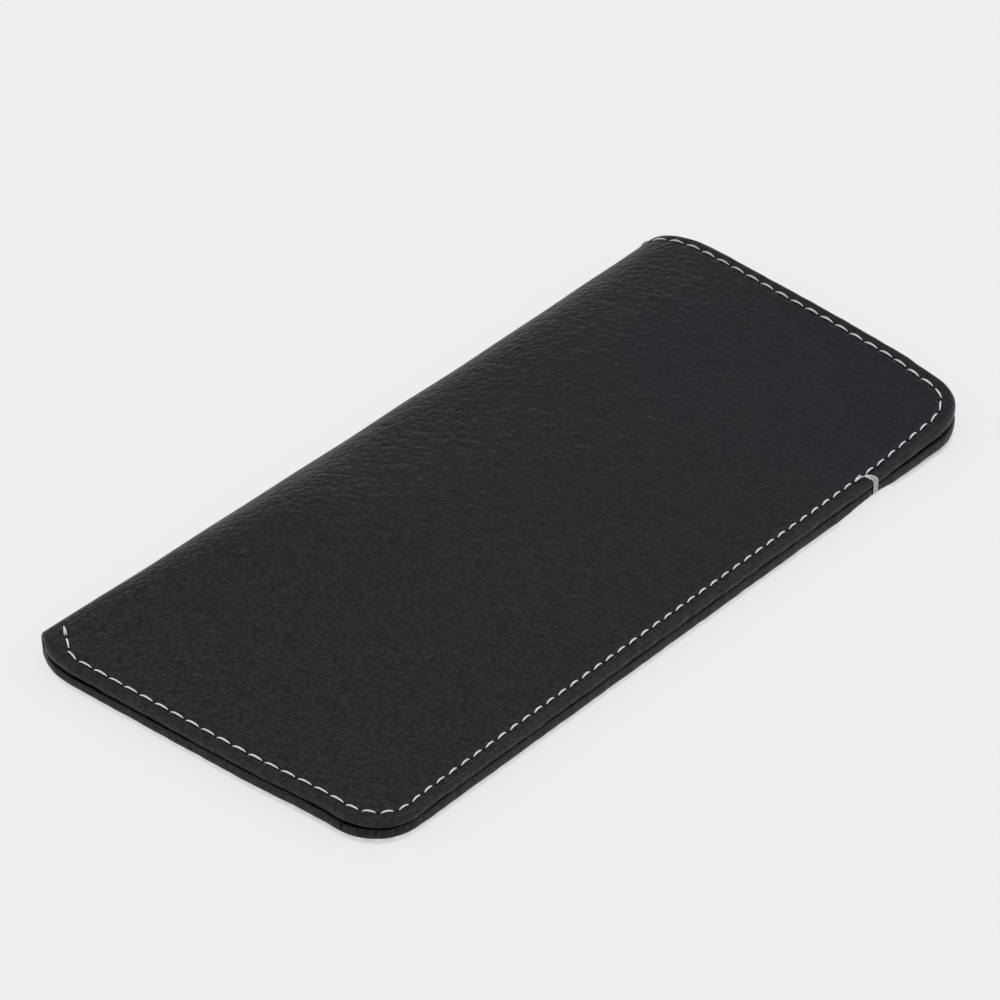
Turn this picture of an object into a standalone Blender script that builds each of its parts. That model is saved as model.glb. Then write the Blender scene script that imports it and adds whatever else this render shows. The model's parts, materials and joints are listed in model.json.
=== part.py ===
"""Glasses pouch: a flat leather sleeve, folded along its spine and sewn on two sides.

Metres, +Z up. X runs from the closed end to the mouth, Y from the sewn edge to the spine fold.
The pouch lies on its lower panel at Z = 0, with the origin below the middle of its box.

Every layer of the sleeve is one family of nested surfaces over a flat pattern. A pattern point is
(x, s): x runs along the spine, and s is the way across the unfolded sheet, from the lower panel's
sewn edge (-HALF_PATTERN), over the fold (0), to the upper panel's sewn edge (+HALF_PATTERN).
A depth is measured from the outer face of the leather towards the pocket.
"""

import math

import bmesh
import bpy
from mathutils import Quaternion, Vector

# Overall sizes
SEAM_LENGTH = 0.1712            # the sleeve along its sewn long edge
SPINE_EXTRA_LENGTH = 0.0044     # how much longer it is along the spine
WIDTH = 0.0855                  # sewn edge to spine, where the closed end pinches it flat
RIDGE_HEIGHT = 0.0096           # top of the belly above the table
EDGE_LIFT = 0.0011              # sewn edges above the table
MOUTH_LIFT = 0.0005             # lower panel's mouth edge above the table
SPINE_DRAW_IN = 0.0032          # how far the full belly draws the spine in

# How the sleeve fills out
BELLY_RUN = 0.067               # closed end to full belly
FOLD_REACH = 0.016              # depth of the round of the fold, at full belly
PINCHED_FOLD_REACH = 0.0045     # the same at the closed end
SEAM_EASE = 0.016               # over which the lower panel comes down from the sewn edge
CLOSED_EASE = 0.020             # over which it comes down from the closed end
MOUTH_EASE = 0.015              # over which it comes down from the mouth edge
RAMP_POWER = 8                  # how late the upper panel levels off towards the ridge
FOLD_POWER = 4                  # how full the round of the fold is

# Outline of the pattern
CLOSED_CORNER_RADIUS = 0.0105   # at the closed end of the sewn edge
MOUTH_CORNER_RADIUS = 0.0130    # at its mouth end
CLOSED_NOTCH_DEPTH = 0.0042     # how far the closed end falls back at the spine
CLOSED_NOTCH_SPAN = 0.012
MOUTH_NOTCH_DEPTH = 0.0032      # how far the mouth edge falls back at the spine
MOUTH_NOTCH_SPAN = 0.014

# Layers, from the outer face to the pocket
LEATHER = 0.0010
BOARD = 0.0005
LINING = 0.0004
GLUE_GAP = 0.00025              # clearance between layers
PANEL_GAP = 0.0003              # between the two panels along the seam

# Turned edge of the leather
HEM_WIDTH = 0.0080              # the turned allowance
HEM_STEP = 0.00025              # run of each step in the hem's inner face
BEAD_WIDTH = 0.0012             # over which the turned edge rounds off
BEAD_SHOULDER = 0.00035         # its first facet

# Stitching
STITCH_PITCH = 0.00325
THREAD_WIDTH = 0.0005
THREAD_HEIGHT = 0.00044
THREAD_WAVE = 0.00009           # how far a stitch rises and dips about its mean
OUTER_THREAD_SINK = 0.00004     # middle of the thread below the leather's outer face
INNER_THREAD_SINK = 0.00026     # middle of the thread below the hem's inner face
THREAD_CLEARANCE = 0.00025      # thread to the seam line pressed into the leather
GROOVE_SLOPE = 0.00025          # run of each side of that line
ROW_MARGIN = 0.00015            # flat leather beside it
MOUTH_ROW_SHIFT = 0.0006        # how much further in the row runs along the mouth
THREAD_END_GAP = 0.0009         # each row stops short of the fold, the tack or the crease
INNER_THREAD_START = 0.0040     # inner rows start past the tack, where the panels have parted

# Bar tack, where the mouth begins
TACK_FROM_MOUTH = 0.0331        # from the mouth edge, along the seam
TACK_WIDTH = 0.0013
TACK_THICKNESS = 0.00042
TACK_CLEARANCE = 0.00028
TACK_PAST_ROW = 0.0004          # its ends, past the row of holes

# Free lip of the upper panel
CREASE_FROM_TACK = 0.0006       # crease's start past the tack
CREASE_END_Y = 0.0140           # where the crease meets the mouth edge
CREASE_GAP = 0.0003
HINGE_ABOVE_FACE = 0.0002       # hinge line above the leather's face
LIP_REST_ANGLE = math.radians(3.0)
BOARD_FROM_CREASE = 0.0025
CUT_OVERRUN = 0.030             # cutters reach past what they cut

# Fineness of the facets
COLUMNS = 14                    # along the spine
PANEL_ROWS = 6                  # across each flat panel
ARC_POINTS = 4                  # within each corner
FOLD_ROW_SHARES = (0.05, 0.11, 0.19, 0.29, 0.41, 0.56, 0.77)
PATH_STEPS = 40                 # fine steps between mesh points on a stitch path
SHARP_ANGLE = math.radians(40)  # edges bent more than this are shaded sharp

# Colours and finish
BLACK_LEATHER = (0.020, 0.021, 0.022, 1.0)
DARK_LINING = (0.030, 0.030, 0.032, 1.0)
GREY_BOARD = (0.22, 0.21, 0.20, 1.0)
GREY_THREAD = (0.60, 0.61, 0.60, 1.0)
LEATHER_ROUGHNESS = 0.55
SOFT_ROUGHNESS = 0.90
THREAD_ROUGHNESS = 0.65

# Worked out from the driving sizes
HALF_LENGTH = SEAM_LENGTH / 2
HALF_WIDTH = WIDTH / 2
BOARD_OUTER = LEATHER + GLUE_GAP
BOARD_INNER = BOARD_OUTER + BOARD
LINING_OUTER = BOARD_INNER + GLUE_GAP
LINING_INNER = LINING_OUTER + LINING
HEM_UNDER_LINING = LINING_OUTER - GLUE_GAP
EDGE_THICKNESS = LINING_INNER
SEAM_TOP = EDGE_LIFT + 2 * EDGE_THICKNESS + PANEL_GAP
PANEL_SPLIT = EDGE_LIFT + EDGE_THICKNESS + PANEL_GAP / 2
FULL_SPINE_Y = HALF_WIDTH - SPINE_DRAW_IN
HALF_PATTERN = FULL_SPINE_Y + HALF_WIDTH + FOLD_REACH
FOLD_PATTERN = 2 * FOLD_REACH
ROW_CORNER = max(CLOSED_CORNER_RADIUS, MOUTH_CORNER_RADIUS)
THREAD_SWING = THREAD_HEIGHT / 2 + THREAD_WAVE
OUTER_GROOVE = OUTER_THREAD_SINK + THREAD_SWING + THREAD_CLEARANCE
INNER_GROOVE = INNER_THREAD_SINK + THREAD_SWING + THREAD_CLEARANCE
HALF_GROOVE_FLOOR = THREAD_WIDTH / 2 + THREAD_CLEARANCE
HALF_GROOVE = HALF_GROOVE_FLOOR + GROOVE_SLOPE
SEAM_INSET = BEAD_WIDTH + ROW_MARGIN + HALF_GROOVE
MOUTH_INSET = SEAM_INSET + MOUTH_ROW_SHIFT
HEM_INNER_EDGE = MOUTH_INSET + HALF_GROOVE + ROW_MARGIN
LINING_INSET = HEM_INNER_EDGE + HEM_STEP + GLUE_GAP
TACK_REACH = SEAM_INSET + TACK_PAST_ROW
TACK_X = HALF_LENGTH - TACK_FROM_MOUTH
CREASE_START_X = TACK_X + TACK_WIDTH / 2 + CREASE_FROM_TACK


def clear_scene():
    for item in list(bpy.data.objects):
        bpy.data.objects.remove(item, do_unlink=True)


def smooth(share):
    share = min(max(share, 0.0), 1.0)
    return share * share * (3 - 2 * share)


def ease(distance, reach):
    """Fall from 1 at an edge to 0 at the reach, meeting the flat smoothly."""
    return max(0.0, 1 - max(distance, 0.0) / reach) ** 2


# The family of nested surfaces

def end_spine_distance(s, spine_y, reach):
    """Distance from the spine to a pattern row, at an end of the sleeve."""
    across = HALF_PATTERN - abs(s)
    flat = spine_y - reach + HALF_WIDTH
    if across <= flat:
        return spine_y + HALF_WIDTH - across
    share = (HALF_PATTERN - across) / (HALF_PATTERN - flat)
    return reach * share ** 2


def closed_fall_back(s):
    distance = end_spine_distance(s, HALF_WIDTH, PINCHED_FOLD_REACH)
    return CLOSED_NOTCH_DEPTH * ease(distance, CLOSED_NOTCH_SPAN)


def mouth_fall_back(s):
    distance = end_spine_distance(s, FULL_SPINE_Y, FOLD_REACH)
    return MOUTH_NOTCH_DEPTH * ease(distance, MOUTH_NOTCH_SPAN)


def lower_face(x, s, across):
    """Height of the lower panel's outer face."""
    from_closed = x + HALF_LENGTH - closed_fall_back(s)
    from_mouth = HALF_LENGTH - mouth_fall_back(s) - x
    release = smooth((x - TACK_X) / TACK_FROM_MOUTH)
    seam = (EDGE_LIFT + (MOUTH_LIFT - EDGE_LIFT) * release) * ease(across, SEAM_EASE)
    closed = EDGE_LIFT * ease(from_closed, CLOSED_EASE)
    mouth = MOUTH_LIFT * ease(from_mouth, MOUTH_EASE)
    flat = 1.0
    for lift in (seam, closed, mouth):
        flat *= 1 - lift / EDGE_LIFT
    return EDGE_LIFT * (1 - flat)


def upper_face(x, s, share):
    """Height of the upper panel's outer face; share runs from the sewn edge to the ridge."""
    belly = smooth((x + HALF_LENGTH - closed_fall_back(s)) / BELLY_RUN)
    ramp = (RAMP_POWER * share - share ** RAMP_POWER) / (RAMP_POWER - 1)
    return SEAM_TOP + (RIDGE_HEIGHT - SEAM_TOP) * belly * ramp


def place(x, s, depth):
    """World position of a pattern point at a depth below the outer face."""
    belly = smooth((x + HALF_LENGTH - closed_fall_back(s)) / BELLY_RUN)
    spine_y = HALF_WIDTH - SPINE_DRAW_IN * belly
    reach = PINCHED_FOLD_REACH + (FOLD_REACH - PINCHED_FOLD_REACH) * belly
    flat = spine_y - reach + HALF_WIDTH
    across = HALF_PATTERN - abs(s)
    if across <= flat:
        y = across - HALF_WIDTH
        if s > 0:
            z = upper_face(x, s, across / flat) - depth
        else:
            z = lower_face(x, s, across) + depth
    else:
        share = (HALF_PATTERN - across) / (HALF_PATTERN - flat)
        y = spine_y - depth - (reach - depth) * share ** 2
        fullness = math.sqrt(1 - (1 - share ** 2) ** FOLD_POWER)
        top = upper_face(x, s, 1.0)
        bottom = lower_face(x, s, flat)
        middle = (top + bottom) / 2
        face = top - depth if s > 0 else bottom + depth
        z = middle + (face - middle) * fullness
    stretch = 1 + SPINE_EXTRA_LENGTH / SEAM_LENGTH * (y + HALF_WIDTH) / WIDTH
    return Vector((x * stretch, y, z))


# The outline of the pattern and the grid within it

def pattern_columns(count=COLUMNS):
    start = CLOSED_CORNER_RADIUS - HALF_LENGTH
    step = (SEAM_LENGTH - CLOSED_CORNER_RADIUS - MOUTH_CORNER_RADIUS) / count
    return [start + step * i for i in range(count + 1)]


def pattern_rows():
    """Rows across the sheet, close together round the fold."""
    side = [FOLD_PATTERN * share for share in FOLD_ROW_SHARES]
    last = HALF_PATTERN - ROW_CORNER
    step = (last - FOLD_PATTERN) / PANEL_ROWS
    side += [FOLD_PATTERN + step * i for i in range(PANEL_ROWS + 1)]
    return [-s for s in reversed(side)] + [0.0] + side


def end_point(s, at_mouth):
    """Point of the outline on the mouth or closed end, with the inward direction."""
    step = HEM_STEP
    if at_mouth:
        x = HALF_LENGTH - mouth_fall_back(s)
        slope = (mouth_fall_back(s + step) - mouth_fall_back(s - step)) / (2 * step)
        inward = Vector((-1.0, -slope)).normalized()
    else:
        x = closed_fall_back(s) - HALF_LENGTH
        slope = (closed_fall_back(s + step) - closed_fall_back(s - step)) / (2 * step)
        inward = Vector((1.0, -slope)).normalized()
    return Vector((x, s)), inward


def corner_points(side_x, side_s, quarter, points):
    """Points round one corner, with one more on the end where the rows stop short of the corner."""
    radius = MOUTH_CORNER_RADIUS if side_x > 0 else CLOSED_CORNER_RADIUS
    centre = Vector((side_x * (HALF_LENGTH - radius), side_s * (HALF_PATTERN - radius)))
    first, last = 1, points
    if radius < ROW_CORNER and side_x * side_s > 0:
        first = 0
    elif radius < ROW_CORNER:
        last = points + 1
    found = []
    for k in range(first, last + 1):
        angle = math.pi / 2 * (quarter + k / (points + 1))
        outward = Vector((math.cos(angle), math.sin(angle)))
        found.append((centre + radius * outward, -outward))
    return found


def outline(columns, rows, arc_points):
    """Outline from the fold at the closed end, round the lower panel, the mouth and the upper panel.

    Each entry is a point, its inward direction and the grid point (column, row) that it faces.
    """
    last_i = len(columns) - 1
    last_j = len(rows) - 1
    fold_j = rows.index(0.0)
    found = []
    for j in range(fold_j, -1, -1):
        found.append((*end_point(rows[j], False), (0, j)))
    found += [(p, n, (0, 0)) for p, n in corner_points(-1, -1, 2, arc_points)]
    for i in range(last_i + 1):
        found.append((Vector((columns[i], -HALF_PATTERN)), Vector((0.0, 1.0)), (i, 0)))
    found += [(p, n, (last_i, 0)) for p, n in corner_points(1, -1, 3, arc_points)]
    for j in range(last_j + 1):
        found.append((*end_point(rows[j], True), (last_i, j)))
    found += [(p, n, (last_i, last_j)) for p, n in corner_points(1, 1, 0, arc_points)]
    for i in range(last_i, -1, -1):
        found.append((Vector((columns[i], HALF_PATTERN)), Vector((0.0, -1.0)), (i, last_j)))
    found += [(p, n, (0, last_j)) for p, n in corner_points(-1, 1, 1, arc_points)]
    for j in range(last_j, fold_j, -1):
        found.append((*end_point(rows[j], False), (0, j)))
    return found


def grid_point(columns, rows, i, j):
    """Grid point, drawn in with the ends where they fall back at the spine."""
    share = i / (len(columns) - 1)
    shift = closed_fall_back(rows[j]) * (1 - share) - mouth_fall_back(rows[j]) * share
    return Vector((columns[i] + shift, rows[j]))


def stitch_inset(point):
    """Distance of the row of holes from the edge: wider along the mouth."""
    release = smooth((point.x - TACK_X) / TACK_FROM_MOUTH)
    return SEAM_INSET + (MOUTH_INSET - SEAM_INSET) * release


def open_share(point):
    """0 where the panels are sewn together, 1 where they are free."""
    return smooth((point.x - CREASE_START_X) / CREASE_FROM_TACK / 2)


# Solids built on the pattern

def make_material(name, colour, roughness):
    material = bpy.data.materials.new(name)
    material.use_nodes = True
    shader = material.node_tree.nodes["Principled BSDF"]
    shader.inputs["Base Color"].default_value = colour
    shader.inputs["Roughness"].default_value = roughness
    shader.inputs["Metallic"].default_value = 0.0
    return material


def mesh_object(name, mesh, material):
    mesh.materials.append(material)
    item = bpy.data.objects.new(name, mesh)
    bpy.context.scene.collection.objects.link(item)
    return item


def finish_mesh(name, bm):
    bmesh.ops.recalc_face_normals(bm, faces=bm.faces)
    mesh = bpy.data.meshes.new(name)
    bm.to_mesh(mesh)
    bm.free()
    mesh.shade_smooth()
    mesh.set_sharp_from_angle(angle=SHARP_ANGLE)
    return mesh


def sheet_solid(name, rings, outer_depth, inner_depth):
    """Closed sheet: rings from the outer face's innermost one, over the edge, to the inner face's.

    A ring is a pair of functions of an outline point: its inset and its depth.
    """
    columns = pattern_columns()
    rows = pattern_rows()
    edge = outline(columns, rows, ARC_POINTS)
    bm = bmesh.new()

    def ring_vertices(inset, depth):
        found = []
        for point, inward, _ in edge:
            moved = point + inward * inset(point)
            found.append(bm.verts.new(place(moved.x, moved.y, depth(point))))
        return found

    def field_vertices(depth):
        found = {}
        for i in range(len(columns)):
            for j in range(len(rows)):
                point = grid_point(columns, rows, i, j)
                found[i, j] = bm.verts.new(place(point.x, point.y, depth))
        return found

    def fill_field(field, ring):
        for i in range(len(columns) - 1):
            for j in range(len(rows) - 1):
                bm.faces.new((field[i, j], field[i + 1, j], field[i + 1, j + 1], field[i, j + 1]))
        for k in range(len(edge)):
            near, far = ring[k - 1], ring[k]
            first, second = field[edge[k - 1][2]], field[edge[k][2]]
            if first is second:
                bm.faces.new((near, far, first))
            else:
                bm.faces.new((near, far, second, first))

    loops = [ring_vertices(inset, depth) for inset, depth in rings]
    for first, second in zip(loops, loops[1:]):
        for k in range(len(edge)):
            bm.faces.new((first[k - 1], first[k], second[k], second[k - 1]))
    fill_field(field_vertices(outer_depth), loops[0])
    fill_field(field_vertices(inner_depth), loops[-1])
    return finish_mesh(name, bm)


def steady(value):
    return lambda point: value


def from_row(offset):
    return lambda point: stitch_inset(point) + offset


def cover_rings():
    """Profile of the turned edge, from the groove on the outer face to the hem's last step inside."""
    def inner_groove(point):
        return EDGE_THICKNESS - INNER_GROOVE * open_share(point)

    return [
        (from_row(HALF_GROOVE), steady(0.0)),
        (from_row(HALF_GROOVE_FLOOR), steady(OUTER_GROOVE)),
        (from_row(-HALF_GROOVE_FLOOR), steady(OUTER_GROOVE)),
        (from_row(-HALF_GROOVE), steady(0.0)),
        (steady(BEAD_WIDTH), steady(0.0)),
        (steady(BEAD_SHOULDER), steady(BEAD_SHOULDER)),
        (steady(0.0), steady(EDGE_THICKNESS / 2)),
        (steady(BEAD_SHOULDER), steady(EDGE_THICKNESS - BEAD_SHOULDER)),
        (steady(BEAD_WIDTH), steady(EDGE_THICKNESS)),
        (from_row(-HALF_GROOVE), steady(EDGE_THICKNESS)),
        (from_row(-HALF_GROOVE_FLOOR), inner_groove),
        (from_row(HALF_GROOVE_FLOOR), inner_groove),
        (from_row(HALF_GROOVE), steady(EDGE_THICKNESS)),
        (steady(HEM_INNER_EDGE), steady(EDGE_THICKNESS)),
        (steady(HEM_INNER_EDGE + HEM_STEP), steady(HEM_UNDER_LINING)),
        (steady(HEM_WIDTH), steady(HEM_UNDER_LINING)),
        (steady(HEM_WIDTH + HEM_STEP), steady(LEATHER)),
    ]


def board_mesh(name, side):
    """Flat board inside one panel, on the same rows and columns as the leather."""
    columns = pattern_columns()
    rows = pattern_rows()
    if side > 0:
        kept = [j for j, s in enumerate(rows) if s >= FOLD_PATTERN]
    else:
        kept = [j for j, s in enumerate(rows) if s <= -FOLD_PATTERN]
    bm = bmesh.new()
    layers = []
    for depth in (BOARD_OUTER, BOARD_INNER):
        layer = {}
        for i in range(len(columns)):
            for k, j in enumerate(kept):
                point = grid_point(columns, rows, i, j)
                layer[i, k] = bm.verts.new(place(point.x, point.y, depth))
        layers.append(layer)
    last_i = len(columns) - 1
    last_k = len(kept) - 1
    for layer in layers:
        for i in range(last_i):
            for k in range(last_k):
                bm.faces.new((layer[i, k], layer[i + 1, k], layer[i + 1, k + 1], layer[i, k + 1]))
    border = [(i, 0) for i in range(last_i)] + [(last_i, k) for k in range(last_k)]
    border += [(i, last_k) for i in range(last_i, 0, -1)] + [(0, k) for k in range(last_k, 0, -1)]
    outer, inner = layers
    for n in range(len(border)):
        first, second = border[n - 1], border[n]
        bm.faces.new((outer[first], outer[second], inner[second], inner[first]))
    return finish_mesh(name, bm)


# The crease, the hinge line and the cuts along it

def mouth_edge_x(y):
    """World X of the mouth edge at a Y within the flat of the upper panel."""
    return HALF_LENGTH * (1 + SPINE_EXTRA_LENGTH / SEAM_LENGTH * (y + HALF_WIDTH) / WIDTH)


def hinge_line():
    """Two points of the hinge line: at the seam edge past the tack, and at the mouth edge."""
    ends = []
    for x, y in ((CREASE_START_X, -HALF_WIDTH), (mouth_edge_x(CREASE_END_Y), CREASE_END_Y)):
        share = (y + HALF_WIDTH) / (FULL_SPINE_Y - FOLD_REACH + HALF_WIDTH)
        z = upper_face(HALF_LENGTH, HALF_PATTERN, share) + HINGE_ABOVE_FACE
        ends.append(Vector((x, y, z)))
    return ends


def lip_cutter(name, shift):
    """Upright prism over the free corner of the upper panel, its crease side moved by the shift."""
    start, end = hinge_line()
    along = Vector((end.x - start.x, end.y - start.y, 0.0)).normalized()
    across = Vector((along.y, -along.x, 0.0))
    corner = [
        start - along * CUT_OVERRUN + across * shift,
        end + along * CUT_OVERRUN + across * shift,
        end + along * CUT_OVERRUN + across * (TACK_FROM_MOUTH + CUT_OVERRUN),
        start - along * CUT_OVERRUN + across * (TACK_FROM_MOUTH + CUT_OVERRUN),
    ]
    bm = bmesh.new()
    floor = [bm.verts.new((p.x, p.y, PANEL_SPLIT)) for p in corner]
    roof = [bm.verts.new((p.x, p.y, RIDGE_HEIGHT + CUT_OVERRUN)) for p in corner]
    bm.faces.new(floor)
    bm.faces.new(roof)
    for k in range(4):
        bm.faces.new((floor[k - 1], floor[k], roof[k], roof[k - 1]))
    bmesh.ops.recalc_face_normals(bm, faces=bm.faces)
    mesh = bpy.data.meshes.new(name)
    bm.to_mesh(mesh)
    bm.free()
    cutter = bpy.data.objects.new(name, mesh)
    bpy.context.scene.collection.objects.link(cutter)
    cutter.hide_render = True
    cutter.display_type = "WIRE"
    return cutter


def cut_mesh(name, mesh, cutter, operation):
    """A copy of the mesh, with the cutter taken away from it or kept of it."""
    work = bpy.data.objects.new(name, mesh)
    bpy.context.scene.collection.objects.link(work)
    modifier = work.modifiers.new("crease", "BOOLEAN")
    modifier.operation = operation
    modifier.solver = "EXACT"
    modifier.object = cutter
    graph = bpy.context.evaluated_depsgraph_get()
    graph.update()
    result = bpy.data.meshes.new_from_object(work.evaluated_get(graph))
    result.name = name
    bpy.data.objects.remove(work, do_unlink=True)
    result.materials.clear()
    return result


def hang_on_hinge(name, mesh, material, hinge):
    """Put a lip piece on the hinge: its origin moves to the hinge line, and it opens with it."""
    for vertex in mesh.vertices:
        vertex.co -= hinge.location
    item = mesh_object(name, mesh, material)
    item.parent = hinge
    return item


# Threads

class StitchPath:
    """The row of holes, measured along the leather from the fold at the closed end."""

    def __init__(self):
        columns = pattern_columns(COLUMNS * PATH_STEPS)
        coarse = pattern_rows()
        rows = []
        for first, second in zip(coarse, coarse[1:]):
            rows += [first + (second - first) * k / PATH_STEPS for k in range(PATH_STEPS)]
        rows.append(coarse[-1])
        edge = outline(columns, rows, PATH_STEPS)
        self.points = []
        self.lengths = []
        length = 0.0
        last = None
        for point, inward, _ in edge:
            row = point + inward * stitch_inset(point)
            spot = place(row.x, row.y, 0.0)
            if last is not None:
                length += (spot - last).length
            last = spot
            self.points.append((row, inward, point))
            self.lengths.append(length)

    def length_at(self, wanted):
        """Length at the outline point nearest to a pattern point."""
        best = min(range(len(self.points)), key=lambda k: (self.points[k][2] - wanted).length)
        return self.lengths[best]

    def at(self, length):
        """Point of the row and inward direction at a length."""
        low, high = 0, len(self.lengths) - 1
        while high - low > 1:
            middle = (low + high) // 2
            if self.lengths[middle] <= length:
                low = middle
            else:
                high = middle
        span = self.lengths[high] - self.lengths[low]
        share = (length - self.lengths[low]) / span if span > 0 else 0.0
        point = self.points[low][0].lerp(self.points[high][0], share)
        inward = self.points[low][1].lerp(self.points[high][1], share).normalized()
        return point, inward


def thread_mesh(name, path, start, stop, centre_depth, wave, step):
    """Thread of square section along the row, dipping at each hole and rising between."""
    count = max(2, round((stop - start) / step))
    bm = bmesh.new()
    rings = []
    for k in range(count + 1):
        point, inward = path.at(start + (stop - start) * k / count)
        depth = centre_depth + (wave if k % 2 == 0 else -wave)
        ring = []
        for side, face in ((-1, -1), (1, -1), (1, 1), (-1, 1)):
            moved = point + inward * (side * THREAD_WIDTH / 2)
            ring.append(bm.verts.new(place(moved.x, moved.y, depth + face * THREAD_HEIGHT / 2)))
        rings.append(ring)
    for first, second in zip(rings, rings[1:]):
        for k in range(4):
            bm.faces.new((first[k - 1], first[k], second[k], second[k - 1]))
    bm.faces.new(rings[0])
    bm.faces.new(rings[-1])
    return finish_mesh(name, bm)


def tack_mesh(name):
    """Band of thread round the sewn edge, from the upper row of holes to the lower one."""
    def corners(reach, clearance):
        """Half of the profile, from over the panel to the edge: inset and depth."""
        return [
            (reach, -clearance),
            (BEAD_WIDTH, -clearance),
            (BEAD_SHOULDER - clearance, BEAD_SHOULDER - clearance),
            (-clearance, EDGE_THICKNESS / 2 - clearance),
        ]

    def loop(x, clearance):
        half = corners(TACK_REACH, clearance)
        upper = [place(x, HALF_PATTERN, depth) + Vector((0.0, inset, 0.0)) for inset, depth in half]
        lower = [place(x, -HALF_PATTERN, depth) + Vector((0.0, inset, 0.0)) for inset, depth in half]
        for n, (inset, _) in enumerate(half):
            share = max(inset, 0.0)
            upper[n].z += place(x, HALF_PATTERN - share, 0.0).z - place(x, HALF_PATTERN, 0.0).z
            lower[n].z += place(x, share - HALF_PATTERN, 0.0).z - place(x, -HALF_PATTERN, 0.0).z
        return upper + lower[::-1]

    bm = bmesh.new()
    sides = []
    for x in (TACK_X - TACK_WIDTH / 2, TACK_X + TACK_WIDTH / 2):
        near = [bm.verts.new(p) for p in loop(x, TACK_CLEARANCE)]
        far = [bm.verts.new(p) for p in loop(x, TACK_CLEARANCE + TACK_THICKNESS)]
        sides.append((near, far))
    (near_a, far_a), (near_b, far_b) = sides
    last = len(near_a) - 1
    for k in range(last):
        bm.faces.new((near_a[k], near_a[k + 1], near_b[k + 1], near_b[k]))
        bm.faces.new((far_a[k], far_a[k + 1], far_b[k + 1], far_b[k]))
        bm.faces.new((near_a[k], near_a[k + 1], far_a[k + 1], far_a[k]))
        bm.faces.new((near_b[k], near_b[k + 1], far_b[k + 1], far_b[k]))
    for k in (0, last):
        bm.faces.new((near_a[k], far_a[k], far_b[k], near_b[k]))
    return finish_mesh(name, bm)


# The pouch

def make_hinge():
    """Empty on the hinge line, turned by the angle at which the lip rests."""
    start, end = hinge_line()
    hinge = bpy.data.objects.new("mouth_lip_hinge", None)
    bpy.context.scene.collection.objects.link(hinge)
    hinge.location = start
    hinge.rotation_mode = "QUATERNION"
    hinge.rotation_quaternion = Quaternion((start - end).normalized(), LIP_REST_ANGLE)
    return hinge


def make_sleeve(hinge, leather, lining, board):
    whole_cover = sheet_solid("whole_cover", cover_rings(), 0.0, LEATHER)
    lining_rings = [
        (steady(LINING_INSET), steady(LINING_OUTER)),
        (steady(LINING_INSET), steady(LINING_INNER)),
    ]
    whole_lining = sheet_solid("whole_lining", lining_rings, LINING_OUTER, LINING_INNER)
    whole_board = board_mesh("whole_board", 1)

    take = lip_cutter("lip_opening_cutter", 0.0)
    keep = lip_cutter("lip_keep_cutter", CREASE_GAP)
    take_board = lip_cutter("board_cutter", -BOARD_FROM_CREASE)

    mesh_object("leather_cover", cut_mesh("leather_cover", whole_cover, take, "DIFFERENCE"), leather)
    mesh_object("lining", cut_mesh("lining", whole_lining, take, "DIFFERENCE"), lining)
    mesh_object("stiffener_top", cut_mesh("stiffener_top", whole_board, take_board, "DIFFERENCE"), board)
    mesh_object("stiffener_bottom", board_mesh("stiffener_bottom", -1), board)
    lip = cut_mesh("mouth_lip_leather", whole_cover, keep, "INTERSECT")
    hang_on_hinge("mouth_lip_leather", lip, leather, hinge)
    lip = cut_mesh("mouth_lip_lining", whole_lining, keep, "INTERSECT")
    hang_on_hinge("mouth_lip_lining", lip, lining, hinge)


def make_threads(hinge, thread):
    path = StitchPath()
    fold = path.lengths[0]
    tack_half = TACK_WIDTH / 2 + THREAD_END_GAP
    lower_tack = path.length_at(Vector((TACK_X, -HALF_PATTERN)))
    upper_tack = path.length_at(Vector((TACK_X, HALF_PATTERN)))
    end = path.lengths[-1]
    crease_s = HALF_PATTERN - (CREASE_END_Y + HALF_WIDTH)
    crease = path.length_at(Vector((HALF_LENGTH, crease_s)))
    skew = (hinge_line()[1].x - hinge_line()[0].x) / (CREASE_END_Y + HALF_WIDTH)
    crossing = crease + MOUTH_INSET / skew
    before_crossing = crossing - THREAD_WIDTH / skew - THREAD_END_GAP
    past_crossing = crossing + (THREAD_WIDTH + CREASE_GAP) / skew + THREAD_END_GAP
    seam_on = (SEAM_INSET + THREAD_WIDTH) * skew + CREASE_FROM_TACK + TACK_WIDTH / 2
    before_tack = upper_tack - seam_on - CREASE_GAP - THREAD_END_GAP

    outer = OUTER_THREAD_SINK
    inner = EDGE_THICKNESS - INNER_THREAD_SINK
    half = STITCH_PITCH / 2
    runs = [
        ("seam_bobbin_thread", fold + THREAD_END_GAP, lower_tack - tack_half, outer, half, None),
        ("mouth_hem_needle_thread", lower_tack + tack_half, before_crossing, outer, half, None),
        ("lip_hem_needle_thread", past_crossing, before_tack, outer, half, hinge),
        ("seam_needle_thread", upper_tack + tack_half, end - THREAD_END_GAP, outer, half, None),
        ("mouth_hem_bobbin_thread", lower_tack + tack_half + INNER_THREAD_START, before_crossing,
         inner, STITCH_PITCH, None),
        ("lip_hem_bobbin_thread", past_crossing, before_tack - INNER_THREAD_START, inner,
         STITCH_PITCH, hinge),
    ]
    for name, start, stop, depth, step, carrier in runs:
        mesh = thread_mesh(name, path, start, stop, depth, THREAD_WAVE, step)
        if carrier is None:
            mesh_object(name, mesh, thread)
        else:
            hang_on_hinge(name, mesh, thread, carrier)
    mesh_object("bar_tack_thread", tack_mesh("bar_tack_thread"), thread)


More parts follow.
